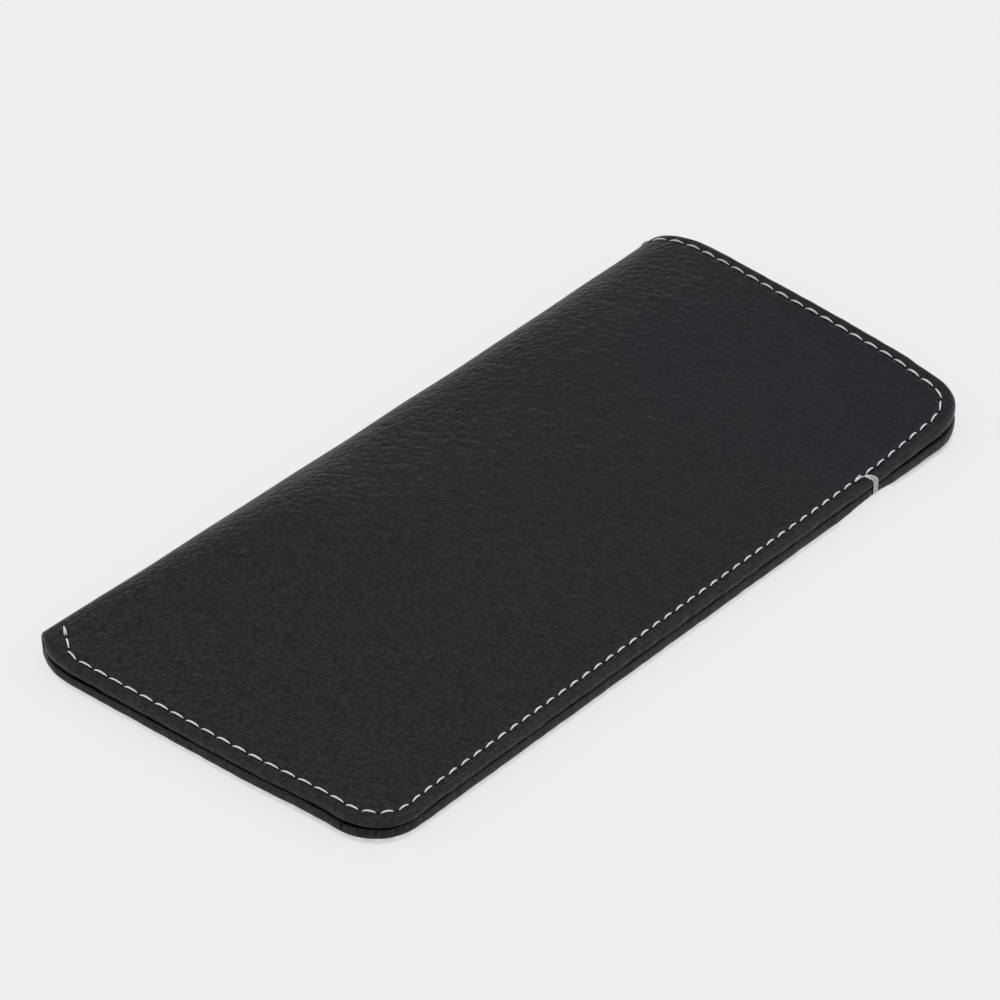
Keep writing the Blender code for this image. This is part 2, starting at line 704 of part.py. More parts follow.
def main():
    clear_scene()
    leather = make_material("black_leather", BLACK_LEATHER, LEATHER_ROUGHNESS)
    lining = make_material("dark_lining", DARK_LINING, SOFT_ROUGHNESS)
    board = make_material("grey_board", GREY_BOARD, SOFT_ROUGHNESS)
    thread = make_material("grey_thread", GREY_THREAD, THREAD_ROUGHNESS)
    hinge = make_hinge()
    make_sleeve(hinge, leather, lining, board)
    make_threads(hinge, thread)


main()
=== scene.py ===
"""Glasses pouch: the leather, lining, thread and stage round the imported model.

The sleeve lies on its lower panel. X runs from the closed end to the mouth, Y from the sewn edge to
the fold, Z up, all in metres. Every layer is one of a family of nested surfaces over a flat pattern:
x runs along the fold, and s across the unfolded leather, from the lower panel's sewn edge (negative),
over the fold (0), to the upper panel's sewn edge (positive). A depth is measured from the leather's
outer face towards the pocket.
"""

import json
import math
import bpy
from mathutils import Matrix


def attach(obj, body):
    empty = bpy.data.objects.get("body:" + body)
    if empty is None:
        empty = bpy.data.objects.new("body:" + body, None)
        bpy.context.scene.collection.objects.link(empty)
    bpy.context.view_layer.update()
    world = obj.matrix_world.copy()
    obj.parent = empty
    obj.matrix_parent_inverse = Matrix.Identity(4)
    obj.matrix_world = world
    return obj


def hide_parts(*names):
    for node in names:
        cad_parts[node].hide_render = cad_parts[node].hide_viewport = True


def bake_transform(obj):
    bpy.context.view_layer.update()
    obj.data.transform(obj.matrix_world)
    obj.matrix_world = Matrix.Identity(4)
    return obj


bl_info = {
    "name": "Glasses Pouch",
    "version": (1, 0, 0),
    "blender": (4, 5, 0),
    "location": "View3D > Sidebar > Pouch",
    "description": "Pebbled leather sleeve with turned, stitched edges, and its stage",
    "category": "Object",
}

import bpy
import numpy as np
from bpy.props import FloatProperty, FloatVectorProperty, IntProperty, PointerProperty
from mathutils import Vector
from mathutils.geometry import delaunay_2d_cdt as tessellate
from mathutils.kdtree import KDTree

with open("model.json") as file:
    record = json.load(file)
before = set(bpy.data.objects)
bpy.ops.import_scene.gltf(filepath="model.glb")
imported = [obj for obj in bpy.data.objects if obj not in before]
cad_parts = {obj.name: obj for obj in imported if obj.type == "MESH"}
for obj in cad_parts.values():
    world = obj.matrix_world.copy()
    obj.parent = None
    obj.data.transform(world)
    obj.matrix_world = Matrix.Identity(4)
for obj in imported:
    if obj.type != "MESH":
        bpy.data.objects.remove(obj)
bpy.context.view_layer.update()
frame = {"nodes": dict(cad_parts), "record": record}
HINGE = frame["record"]["behaviour"]["joints"][0]


# Settings

def length(title, default, text):
    return FloatProperty(name=title, description=text, default=default, unit="LENGTH", precision=5)


def number(title, default, text):
    return FloatProperty(name=title, description=text, default=default, precision=3)


def colour(title, default, text):
    return FloatVectorProperty(name=title, description=text, default=default, size=3,
                               subtype="COLOR", min=0.0, max=1.0)


class SleeveShape(bpy.types.PropertyGroup):
    """How the folded sleeve is cut and how it fills out."""
    seam_length: length("Seam length", 0.1712, "The sleeve along its sewn long edge")
    spine_extra: length("Spine extra", 0.0044, "How much longer it is along the fold")
    width: length("Width", 0.0855, "Sewn edge to fold, at the pinched closed end")
    ridge: length("Ridge", 0.0096, "Top of the belly above the table")
    edge_lift: length("Edge lift", 0.0011, "Sewn edges above the table")
    mouth_lift: length("Mouth lift", 0.0009, "Lower panel's mouth edge above the table")
    draw_in: length("Draw-in", 0.0032, "How far the full belly draws the fold in")
    belly_run: length("Belly run", 0.067, "Closed end to full belly")
    swell: length("Swell", 0.00055, "How far the fold stands out where the belly begins")
    swell_x: length("Swell at", -0.026, "Where it does, along the fold")
    swell_span: length("Swell span", 0.020, "Over which it does")
    fold_reach: length("Fold reach", 0.016, "Depth of the round of the fold at full belly")
    pinched_reach: length("Pinched reach", 0.0045, "Depth of the round at the closed end")
    seam_ease: length("Seam ease", 0.016, "Over which the lower panel comes down from the seam")
    closed_ease: length("Closed ease", 0.020, "The same from the closed end")
    mouth_ease: length("Mouth ease", 0.015, "The same from the mouth edge")
    ramp_power: IntProperty(name="Ramp power", default=8,
                            description="How late the upper panel levels off towards the ridge")
    fold_power: IntProperty(name="Fold power", default=4,
                            description="How full the round of the fold is")
    closed_corner: length("Closed corner", 0.0105, "Corner radius at the closed end")
    mouth_corner: length("Mouth corner", 0.0130, "Corner radius at the mouth")
    closed_notch: length("Closed notch", 0.0042, "How far the closed end falls back at the fold")
    closed_notch_span: length("Closed notch span", 0.012, "Over which it does")
    mouth_notch: length("Mouth notch", 0.0032, "How far the mouth edge falls back at the fold")
    mouth_notch_span: length("Mouth notch span", 0.014, "Over which it does")
    trim: length("Trim", 0.00082, "How much is cut off before the closed corner")
    trim_span: length("Trim span", 0.012, "Over which it is")
    trim_from: length("Trim from", 0.0040, "Middle of the trim, before the corner")
    lower_trim: number("Lower trim", 0.9, "Share of the trim that the lower panel gets")
    spare: length("Spare", 0.00045, "How much the upper panel's corner stands out after the trim")
    spare_span: length("Spare span", 0.006, "Over which it does")
    lip_trim: length("Lip trim", 0.0012, "How much is cut off the corner of the free lip")
    lip_trim_span: length("Lip trim span", 0.0060, "Over which it is")
    lip_trim_from: length("Lip trim from", 0.0015, "Middle of that trim, before the corner's end")
    edge_trim: length("Edge trim", 0.00035, "How much is cut off the mouth edge beside it")
    edge_trim_span: length("Edge trim span", 0.012, "Over which it is")
    split: length("Split", 0.032, "Where the upper and lower leather meet, under the fold")
    bend_before: length("Bend before crease", 0.0008, "Where the free lip starts to bend")
    bend_after: length("Bend after crease", 0.0070, "Where the free lip is fully turned")
    lip_rest: FloatProperty(name="Lip at rest", default=math.radians(3.0), subtype="ANGLE",
                            description="How far the free corner stands open at rest")


class LayerSizes(bpy.types.PropertyGroup):
    """Thicknesses and insets of leather and lining."""
    leather: length("Leather", 0.0010, "One layer of leather")
    edge_upper: length("Upper edge", 0.00215, "The turned and glued edge of the upper panel")
    edge_ease: length("Edge ease", 0.080, "Over which, from the fold, one thickness becomes the other")
    edge_lower: length("Lower edge", 0.00275, "The same of the lower panel")
    panel_gap: length("Panel gap", 0.0002, "Between the two panels along the seam")
    corner_gap: length("Corner gap", 0.00030, "How much wider the gap is at the closed corner")
    corner_gap_span: length("Corner gap span", 0.011, "Over which it is")
    bead: length("Bead", 0.0011, "Over which the turned edge rounds off")
    bead_power: number("Bead power", 0.88, "How full the rounded edge is; 1 is an ellipse")
    inner_power: number("Inner power", 0.38, "The same on the side that faces the other panel")
    hem_edge: length("Hem edge", 0.0036, "Full thickness of the hem ends")
    hem_step: length("Hem step", 0.00025, "Run of each step of the hem")
    hem_under: length("Hem under lining", 0.00175, "Thickness of the hem under the lining")
    hem_width: length("Hem width", 0.0080, "The turned allowance")
    lining_inset: length("Lining inset", 0.0041, "Lining's edge from the leather's edge")
    lining_outer: length("Lining outer", 0.0020, "Depth of the lining's glued face")
    lining: length("Lining", 0.0004, "Thickness of the lining")


class StitchSizes(bpy.types.PropertyGroup):
    """The rows of lockstitches."""
    inset: length("Inset", 0.0021, "Row of holes from the sewn edges")
    mouth_shift: length("Mouth shift", 0.0005, "How much further in the row runs along the mouth")
    corner_shift: length("Corner shift", 0.0003, "How much further in again at the mouth's corners")
    corner_span: length("Corner span", 0.0165, "Over which it does")
    hook: length("Hook", 0.0050, "How much further in it ends, at the fold of the closed end")
    hook_span: length("Hook span", 0.0125, "Over which it turns in")
    seam_pitch: length("Seam pitch", 0.00324, "Stitch along the seam")
    closed_pitch: length("Closed pitch", 0.00370, "Stitch across the closed end")
    lip_pitch: length("Lip pitch", 0.00338, "Stitch along the free lip")
    mouth_pitch: length("Mouth pitch", 0.00384, "Stitch along the mouth")
    first: length("First stitch", 0.0121, "First hole from the fold, along the pattern")
    thread: length("Thread radius", 0.000197, "Radius of the twisted thread")
    rise: length("Rise", 0.00031, "Top of a stitch above the leather")
    sink: length("Sink", 0.00024, "Its ends below the leather")
    short: length("Short", 0.00066, "How much shorter than its two holes are apart")
    short_seam: length("Short, seam", 0.00095, "The same along the seam")
    pressed: number("Pressed", 0.30, "Height of the stitches that the pouch lies on")
    # Painted shade: how bright the thread along the mouth is kept
    faded: number("Mouth shade", 0.72, "Brightness of the thread along the mouth")
    lean: FloatProperty(name="Lean", default=math.radians(3.5), subtype="ANGLE",
                        description="How far a stitch is turned from its row")
    pinch: length("Pinch", 0.00016, "How deep the row is drawn into the leather")
    pinch_width: length("Pinch width", 0.0007, "How wide")
    hole: length("Hole depth", 0.00065, "Depth of a needle hole")
    hole_radius: length("Hole radius", 0.00042, "Radius of a needle hole")
    pillow: length("Pillow", 0.00008, "Swell of the leather between two holes")
    twist: number("Twist", 1.4, "Turns of the strands along one stitch")


class TackSizes(bpy.types.PropertyGroup):
    """The bar tack round the edge, where the mouth begins."""
    from_mouth: length("From mouth", 0.0337, "Bar tack from the mouth edge")
    width: length("Width", 0.00105, "Of the band over the edge, between its outer strands")
    lean: length("Lean", 0.00102, "How far the band leans from its hole towards the mouth")
    strand: length("Strand radius", 0.000100, "Radius of one strand")
    strands: IntProperty(name="Strands", default=4, description="Strands side by side")
    nip: length("Nip", 0.00112, "How deep it draws the lower panel's edge in")
    nip_span: length("Nip span", 0.0048, "Over which it does")
    upper_nip: number("Upper nip", 0.25, "Share of it by which the upper panel's is drawn in")
    twist: length("Twist", 0.0014, "Length of one turn of a strand's plies")


class LeatherLook(bpy.types.PropertyGroup):
    """Colour and grain of the leather."""
    colour: colour("Leather", (0.0170, 0.0170, 0.0184), "Colour of the leather at the closed end")
    cool: colour("Leather, mouth", (0.0106, 0.0119, 0.0176), "Colour of the leather at the mouth")
    # Painted shade: the colour that the creases of the grain are darkened to, which the random specks
    # share
    crease: colour("Crease", (0.0030, 0.0030, 0.0036), "Colour in the creases of the grain")
    pebble: length("Pebble", 0.00155, "Width of one pebble of the grain")
    stretch: number("Stretch", 1.25, "Length of a pebble against its width")
    heading: FloatProperty(name="Heading", default=math.radians(64), subtype="ANGLE",
                           description="Direction of the long pebbles, seen from above")
    depth: length("Depth", 0.00014, "Depth of the creases between pebbles")
    calm: number("Calm", 0.80, "Depth of the grain on the flat of the panel, against the fold")
    roughness: number("Roughness", 0.36, "Of the pebbles' tops")
    gloss: number("Gloss", 0.20, "Specular level")


class ThreadLook(bpy.types.PropertyGroup):
    """Colours of thread, lining and board."""
    thread: colour("Thread", (0.76, 0.76, 0.76), "Colour of the sewing thread")
    tack: colour("Tack thread", (0.84, 0.85, 0.86), "Colour of the bar tack")
    lining: colour("Lining", (0.030, 0.030, 0.032), "Colour of the lining")
    board: colour("Board", (0.22, 0.21, 0.20), "Colour of the stiffening boards")


class StageLook(bpy.types.PropertyGroup):
    """Floor, light and camera."""
    floor: colour("Floor", (0.86, 0.86, 0.86), "Colour of the floor")
    floor_size: length("Floor size", 6.0, "Side of the floor")
    evenness: number("Evenness", 0.85, "Share of the floor's colour that the camera sees unshaded")
    contact: length("Contact", 0.0011, "Reach of the dark line under the pouch's edges")
    sky_low: number("Sky, low behind", 0.95, "Strength of the sky low behind the pouch")
    sky_back: number("Sky behind", 0.34, "Strength of the sky above that")
    sky_front: number("Sky elsewhere", 1.02, "Strength of the sky overhead and on the camera's side")
    key: number("Key", 4.0, "Power of the large lamp")
    key_size: length("Key size", 1.8, "Side of the large lamp")
    key_place: FloatVectorProperty(name="Key place", default=(0.50, -0.45, 1.35), size=3,
                                   subtype="TRANSLATION", description="Where the large lamp hangs")
    azimuth: number("Azimuth", -48.6, "Camera's azimuth, in degrees")
    elevation: number("Elevation", 37.1, "Camera's elevation, in degrees")
    distance: length("Distance", 1.120, "Camera from its target")
    focal: number("Focal length", 6.0, "Focal length as a multiple of the picture's width")
    target: FloatVectorProperty(name="Target", default=(0.00087, 0.00539, 0.0062), size=3,
                                subtype="TRANSLATION", description="What the camera looks at")


# The nested surfaces

def smooth(share):
    share = np.clip(share, 0.0, 1.0)
    return share * share * (3 - 2 * share)


def ease(distance, reach):
    """Fall from 1 at an edge to 0 at the reach, meeting the flat smoothly."""
    return np.maximum(0.0, 1 - np.maximum(distance, 0.0) / reach) ** 2


def bump(distance, width):
    """1 at no distance, falling to nothing past the width."""
    return np.exp(-((distance / width) ** 2))


class Sleeve:
    """World positions of pattern points, for whole arrays of them."""

    GIRTH_POINTS = 400

    def __init__(self, scene):
        self.shape = shape = scene.pouch_shape
        self.layers = layers = scene.pouch_layers
        self.half_length = shape.seam_length / 2
        self.half_width = shape.width / 2
        self.full_spine = self.half_width - shape.draw_in
        self.half_pattern = self.full_spine + self.half_width + shape.fold_reach
        self.seam_top = shape.edge_lift + layers.edge_lower + layers.edge_upper + layers.panel_gap
        self.tack_x = self.half_length - scene.pouch_tack.from_mouth
        self.release_run = scene.pouch_tack.from_mouth
        self.hinge = np.array(HINGE["pos_m"])
        self.axis = np.array(HINGE["axis"]) / np.linalg.norm(HINGE["axis"])
        along = -self.axis[:2] / np.linalg.norm(self.axis[:2])
        self.across = np.array([along[1], -along[0], 0.0])

    def end_spine_distance(self, s, spine_y, reach):
        """Distance from the spine to a pattern row, at an end of the sleeve."""
        across = self.half_pattern - np.abs(s)
        flat = spine_y - reach + self.half_width
        round_share = (self.half_pattern - across) / (self.half_pattern - flat)
        return np.where(across <= flat, spine_y + self.half_width - across, reach * round_share ** 2)

    def closed_back(self, s):
        shape = self.shape
        distance = self.end_spine_distance(s, self.half_width, shape.pinched_reach)
        return shape.closed_notch * ease(distance, shape.closed_notch_span)

    def mouth_back(self, s):
        shape = self.shape
        distance = self.end_spine_distance(s, self.full_spine, shape.fold_reach)
        return shape.mouth_notch * ease(distance, shape.mouth_notch_span)

    def lower_face(self, x, s, across):
        """Height of the lower panel's outer face."""
        shape = self.shape
        release = smooth((x - self.tack_x) / self.release_run)
        seam = shape.edge_lift + (shape.mouth_lift - shape.edge_lift) * release
        seam = seam * ease(across, shape.seam_ease)
        closed = shape.edge_lift * ease(x + self.half_length - self.closed_back(s), shape.closed_ease)
        mouth = shape.mouth_lift * ease(self.half_length - self.mouth_back(s) - x, shape.mouth_ease)
        flat = 1.0
        for lift in (seam, closed, mouth):
            flat = flat * (1 - lift / shape.edge_lift)
        return shape.edge_lift * (1 - flat)

    def place(self, x, s, depth):
        """World positions of pattern points at a depth below the outer face."""
        shape = self.shape
        x, s, depth = np.broadcast_arrays(*(np.asarray(v, float) for v in (x, s, depth)))
        belly = smooth((x + self.half_length - self.closed_back(s)) / shape.belly_run)
        spine_y = (self.half_width - shape.draw_in * belly
                   + shape.swell * bump(x - shape.swell_x, shape.swell_span))
        reach = shape.pinched_reach + (shape.fold_reach - shape.pinched_reach) * belly
        flat = spine_y - reach + self.half_width
        across = self.half_pattern - np.abs(s)
        to_ridge = np.minimum(across / flat, 1.0)
        ramp = (shape.ramp_power * to_ridge - np.sign(to_ridge) * np.abs(to_ridge) ** shape.ramp_power)
        ramp = ramp / (shape.ramp_power - 1)
        top = self.seam_top + (shape.ridge - self.seam_top) * belly * ramp
        bottom = self.lower_face(x, s, np.minimum(across, flat))
        face = np.where(s > 0, top - depth, bottom + depth)
        share = np.clip((self.half_pattern - across) / (self.half_pattern - flat), 0.0, 1.0)
        fullness = np.sqrt(1 - (1 - share ** 2) ** shape.fold_power)
        middle = (top + bottom) / 2
        on_panel = across <= flat
        y_fold = spine_y - depth - (reach - depth) * share ** 2
        y = np.where(on_panel, across - self.half_width, y_fold)
        z = np.where(on_panel, face, middle + (face - middle) * fullness)
        stretch = 1 + shape.spine_extra / shape.seam_length * (y + self.half_width) / shape.width
        return np.stack((x * stretch, y, z), -1)

    def girth(self, first, last, depth):
        """Length round the sleeve from one pattern row to another, halfway along it."""
        spots = self.place(0.0, np.linspace(first, last, self.GIRTH_POINTS), depth)
        return float(np.linalg.norm(np.diff(spots, axis=0), axis=1).sum())

    def edge(self, s):
        """Thickness of the turned edge, which changes in the round of the fold."""
        layers = self.layers
        share = smooth(-np.asarray(s) / layers.edge_ease)
        return layers.edge_upper + (layers.edge_lower - layers.edge_upper) * share

    def past_crease(self, points):
        return (points - self.hinge) @ self.across

    def open_lip(self, points):
        """The free corner of the upper panel, turned up about the crease by its angle at rest."""
        shape = self.shape
        past = self.past_crease(points)
        share = smooth((past + shape.bend_before) / (shape.bend_before + shape.bend_after))
        angle = (share * shape.lip_rest)[..., None]
        arm = points - self.hinge
        along = (arm @ self.axis)[..., None] * self.axis
        turned = (arm * np.cos(angle) + np.cross(self.axis, arm) * np.sin(angle)
                  + along * (1 - np.cos(angle)))
        return self.hinge + turned

    def layer(self, side, x, s, depth):
        """Positions on the upper (+1) or lower (-1) panel, its lip at rest."""
        points = self.place(x, s, depth)
        return self.open_lip(points) if side > 0 else points

    def bend_line(self):
        """Where a piece that crosses the crease starts to bend, and where it is fully turned."""
        start = Vector(self.hinge - self.across * self.shape.bend_before)
        end = Vector(self.hinge + self.across * self.shape.bend_after)
        return start, end


class Outline:
    """The pattern's edge, followed from under the fold at the closed end, over the upper panel,
    along the mouth and back over the lower panel, with the row of stitches inside it."""

    STEP = 0.0002
    CLOSED_UPPER, MOUTH_UPPER, MOUTH_LOWER, CLOSED_LOWER = 1, 3, 5, 7

    def __init__(self, sleeve, stitch):
        self.sleeve = sleeve
        self.lay_legs(sleeve.shape, stitch)
        run = np.concatenate(([0.0], np.cumsum(np.linalg.norm(np.diff(self.point, axis=0), axis=1))))
        self.inset = self.insets(stitch, run)
        self.point += self.inward * self.trims(sleeve.shape, run)[:, None]
        row = self.point + self.inward * self.inset[:, None]
        spots = sleeve.place(row[:, 0], row[:, 1], 0.0)
        steps = np.linalg.norm(np.diff(spots, axis=0), axis=1)
        self.length = np.concatenate(([0.0], np.cumsum(steps)))

    def lay_legs(self, shape, stitch):
        """The straight and round parts of the edge, and the length of a stitch on each."""
        sleeve = self.sleeve
        closed_row = sleeve.half_pattern - shape.closed_corner
        mouth_row = sleeve.half_pattern - shape.mouth_corner
        x_closed = shape.closed_corner - sleeve.half_length
        x_mouth = sleeve.half_length - shape.mouth_corner
        closed, seam, mouth = stitch.closed_pitch, stitch.seam_pitch, stitch.mouth_pitch
        legs = [
            (self.end_leg(-shape.split, closed_row, -1), closed),
            (self.corner(-1, 1, 180, 90), seam),
            (self.seam_leg(x_closed, x_mouth, 1), seam),
            (self.corner(1, 1, 90, 0), mouth),
            (self.end_leg(mouth_row, -mouth_row, 1), mouth),
            (self.corner(1, -1, 0, -90), mouth),
            (self.seam_leg(x_mouth, x_closed, -1), seam),
            (self.corner(-1, -1, -90, -180), seam),
            (self.end_leg(-closed_row, -shape.split, -1), closed),
        ]
        self.point = np.concatenate([point for (point, inward), pitch in legs])
        self.inward = np.concatenate([inward for (point, inward), pitch in legs])
        counts = [len(point) for (point, inward), pitch in legs]
        self.leg = np.repeat(np.arange(len(legs)), counts)
        self.pitch = np.repeat([pitch for part, pitch in legs], counts)
        on_lip = (self.pitch == stitch.seam_pitch) & (self.point[:, 0] > sleeve.tack_x)
        self.pitch[on_lip] = stitch.lip_pitch

    def insets(self, stitch, run):
        """How far inside the edge the row of holes runs."""
        sleeve = self.sleeve
        release = smooth((self.point[:, 0] - sleeve.tack_x) / sleeve.release_run)
        from_fold = sleeve.end_spine_distance(self.point[:, 1], sleeve.half_width,
                                              sleeve.shape.pinched_reach)
        hook = np.where(self.point[:, 0] < 0, ease(from_fold, stitch.hook_span), 0.0)
        middles = [run[self.leg == leg].mean() for leg in (self.MOUTH_UPPER, self.MOUTH_LOWER)]
        corner = sum(bump(run - middle, stitch.corner_span) for middle in middles)
        return (stitch.inset + stitch.mouth_shift * release + stitch.corner_shift * corner
                + stitch.hook * hook)

    def trims(self, shape, run):
        """How much is cut off the edge by hand, before it is turned."""
        on_upper, on_lower, on_lip = (run[self.leg == leg] for leg in (
            self.CLOSED_UPPER, self.CLOSED_LOWER, self.MOUTH_UPPER))
        upper = on_upper[0] - shape.trim_from
        lower = on_lower[-1] + shape.trim_from
        spare = on_upper[-1] - shape.trim_from
        lip = on_lip[-1] - shape.lip_trim_from
        trim = (shape.trim * bump(run - upper, shape.trim_span)
                + shape.lower_trim * shape.trim * bump(run - lower, shape.trim_span)
                - shape.spare * bump(run - spare, shape.spare_span))
        lip_trim = (shape.lip_trim * bump(run - lip, shape.lip_trim_span)
                    + shape.edge_trim * bump(run - lip - shape.edge_trim_span, shape.edge_trim_span))
        return trim + lip_trim

    def end_leg(self, first, last, side_x):
        sleeve = self.sleeve
        s = np.linspace(first, last, max(2, round(abs(last - first) / self.STEP)))
        back = sleeve.mouth_back if side_x > 0 else sleeve.closed_back
        x = side_x * (sleeve.half_length - back(s))
        slope = (back(s + self.STEP) - back(s - self.STEP)) / (2 * self.STEP)
        inward = np.stack((np.full(len(s), -side_x), -slope), 1).astype(float)
        return np.stack((x, s), 1), inward / np.linalg.norm(inward, axis=1)[:, None]

    def seam_leg(self, first, last, side):
        x = np.linspace(first, last, round(abs(last - first) / self.STEP))
        s = np.full(len(x), side * self.sleeve.half_pattern)
        return np.stack((x, s), 1), np.tile((0.0, -float(side)), (len(x), 1))

    def corner(self, side_x, side_s, first, last):
        shape = self.sleeve.shape
        radius = shape.mouth_corner if side_x > 0 else shape.closed_corner
        centre = np.array([side_x * (self.sleeve.half_length - radius),
                           side_s * (self.sleeve.half_pattern - radius)])
        count = round(radius * math.pi / 2 / self.STEP)
        angle = np.radians(np.linspace(first, last, count + 2)[1:-1])
        outward = np.stack((np.cos(angle), np.sin(angle)), 1)
        return centre + radius * outward, -outward

    def length_on(self, leg, share):
        """Length along the row at a share of the way along a leg."""
        on_leg = np.flatnonzero(self.leg == leg)
        return self.length[on_leg[round(share * (len(on_leg) - 1))]]

    def length_at(self, leg, value, axis):
        """Length along the row where a leg passes a given x (axis 0) or s (axis 1)."""
        on_leg = np.flatnonzero(self.leg == leg)
        nearest = np.abs(self.point[on_leg, axis] - value).argmin()
        return self.length[on_leg[nearest]]

    def at(self, wanted):
        """Points of the edge, inward directions and insets of the row at lengths of the row."""
        def along(values):
            return np.interp(wanted, self.length, values)
        point = np.stack((along(self.point[:, 0]), along(self.point[:, 1])), -1)
        inward = np.stack((along(self.inward[:, 0]), along(self.inward[:, 1])), -1)
        inward /= np.linalg.norm(inward, axis=-1)[..., None]
        return point, inward, along(self.inset)

    def holes(self, start, stop):
        """Lengths of the needle holes between two lengths, a whole number of stitches apart."""
        inside = (self.length >= start) & (self.length <= stop)
        grid = self.length[inside]
        phase = np.concatenate(([0.0], np.cumsum(np.diff(grid) / self.pitch[inside][1:])))
        count = max(1, round(phase[-1]))
        return np.interp(np.linspace(0, phase[-1], count + 1), phase, grid)


class Stations:
    """Lengths of the row at which the leather's mesh has points, in step with the stitches."""

    PER_STITCH = 9
    PLAIN_STEP, CRACKED_STEP = 0.0004, 0.00011
    SAME = 1e-9

    def __init__(self, outline, stitch):
        sleeve = outline.sleeve
        shape = sleeve.shape
        under = outline.length_at(0, -stitch.first, 1)
        first = outline.length_at(0, stitch.first, 1)

        self.upper_tack = outline.length_at(2, sleeve.tack_x, 0)
        self.lower_tack = outline.length_at(6, sleeve.tack_x, 0)
        self.turn = outline.length_at(4, -shape.split, 1)
        self.upper = outline.holes(first, self.upper_tack)
        self.mouth = outline.holes(self.upper_tack, self.lower_tack)
        self.lower = outline.holes(self.lower_tack, outline.length[-1])
        self.under = outline.holes(0.0, under)
        parts = [self.plain(under, first)]
        parts += [self.fine(run) for run in (self.under, self.upper, self.mouth, self.lower)]
        corner = [outline.length_on(outline.CLOSED_LOWER, share) for share in (0.0, 1.0)]
        parts += [np.arange(*corner, self.CRACKED_STEP), np.array([self.turn, outline.length[-1]])]
        self.lower_corner = sum(corner) / 2
        self.length = np.unique(np.round(np.concatenate(parts), 7))
        holes = np.unique(np.concatenate((self.under, self.upper, self.mouth, self.lower)))
        self.from_hole = np.abs(self.length[:, None] - holes[None, :]).min(1)
        self.point, self.inward, self.inset = outline.at(self.length)

    def on(self, side):
        """Which stations are on the upper (+1) or the lower (-1) leather."""
        if side > 0:
            return self.length <= self.turn + self.SAME
        return self.length >= self.turn - self.SAME

    def plain(self, start, stop):
        return np.linspace(start, stop, max(2, round((stop - start) / self.PLAIN_STEP)), endpoint=False)

    def fine(self, holes):
        steps = np.arange(0, len(holes) - 1 + self.SAME, 1 / self.PER_STITCH)
        return np.interp(steps, np.arange(len(holes)), holes)


# Meshes

def new_object(name, mesh, material):
    mesh.materials.append(material)
    piece = bpy.data.objects.new(name, mesh)
    bpy.context.scene.collection.objects.link(piece)
    return piece


def lattice(low, high, spacing):
    """Points of a triangular lattice over a rectangle, rows along the first axis."""
    rows = np.arange(low[1], high[1], spacing * math.sqrt(0.75))
    columns = np.arange(low[0], high[0], spacing)
    x, s = np.meshgrid(columns, rows)
    x = x + spacing / 2 * (np.arange(len(rows)) % 2)[:, None]
    return np.stack((x.ravel(), s.ravel()), 1)


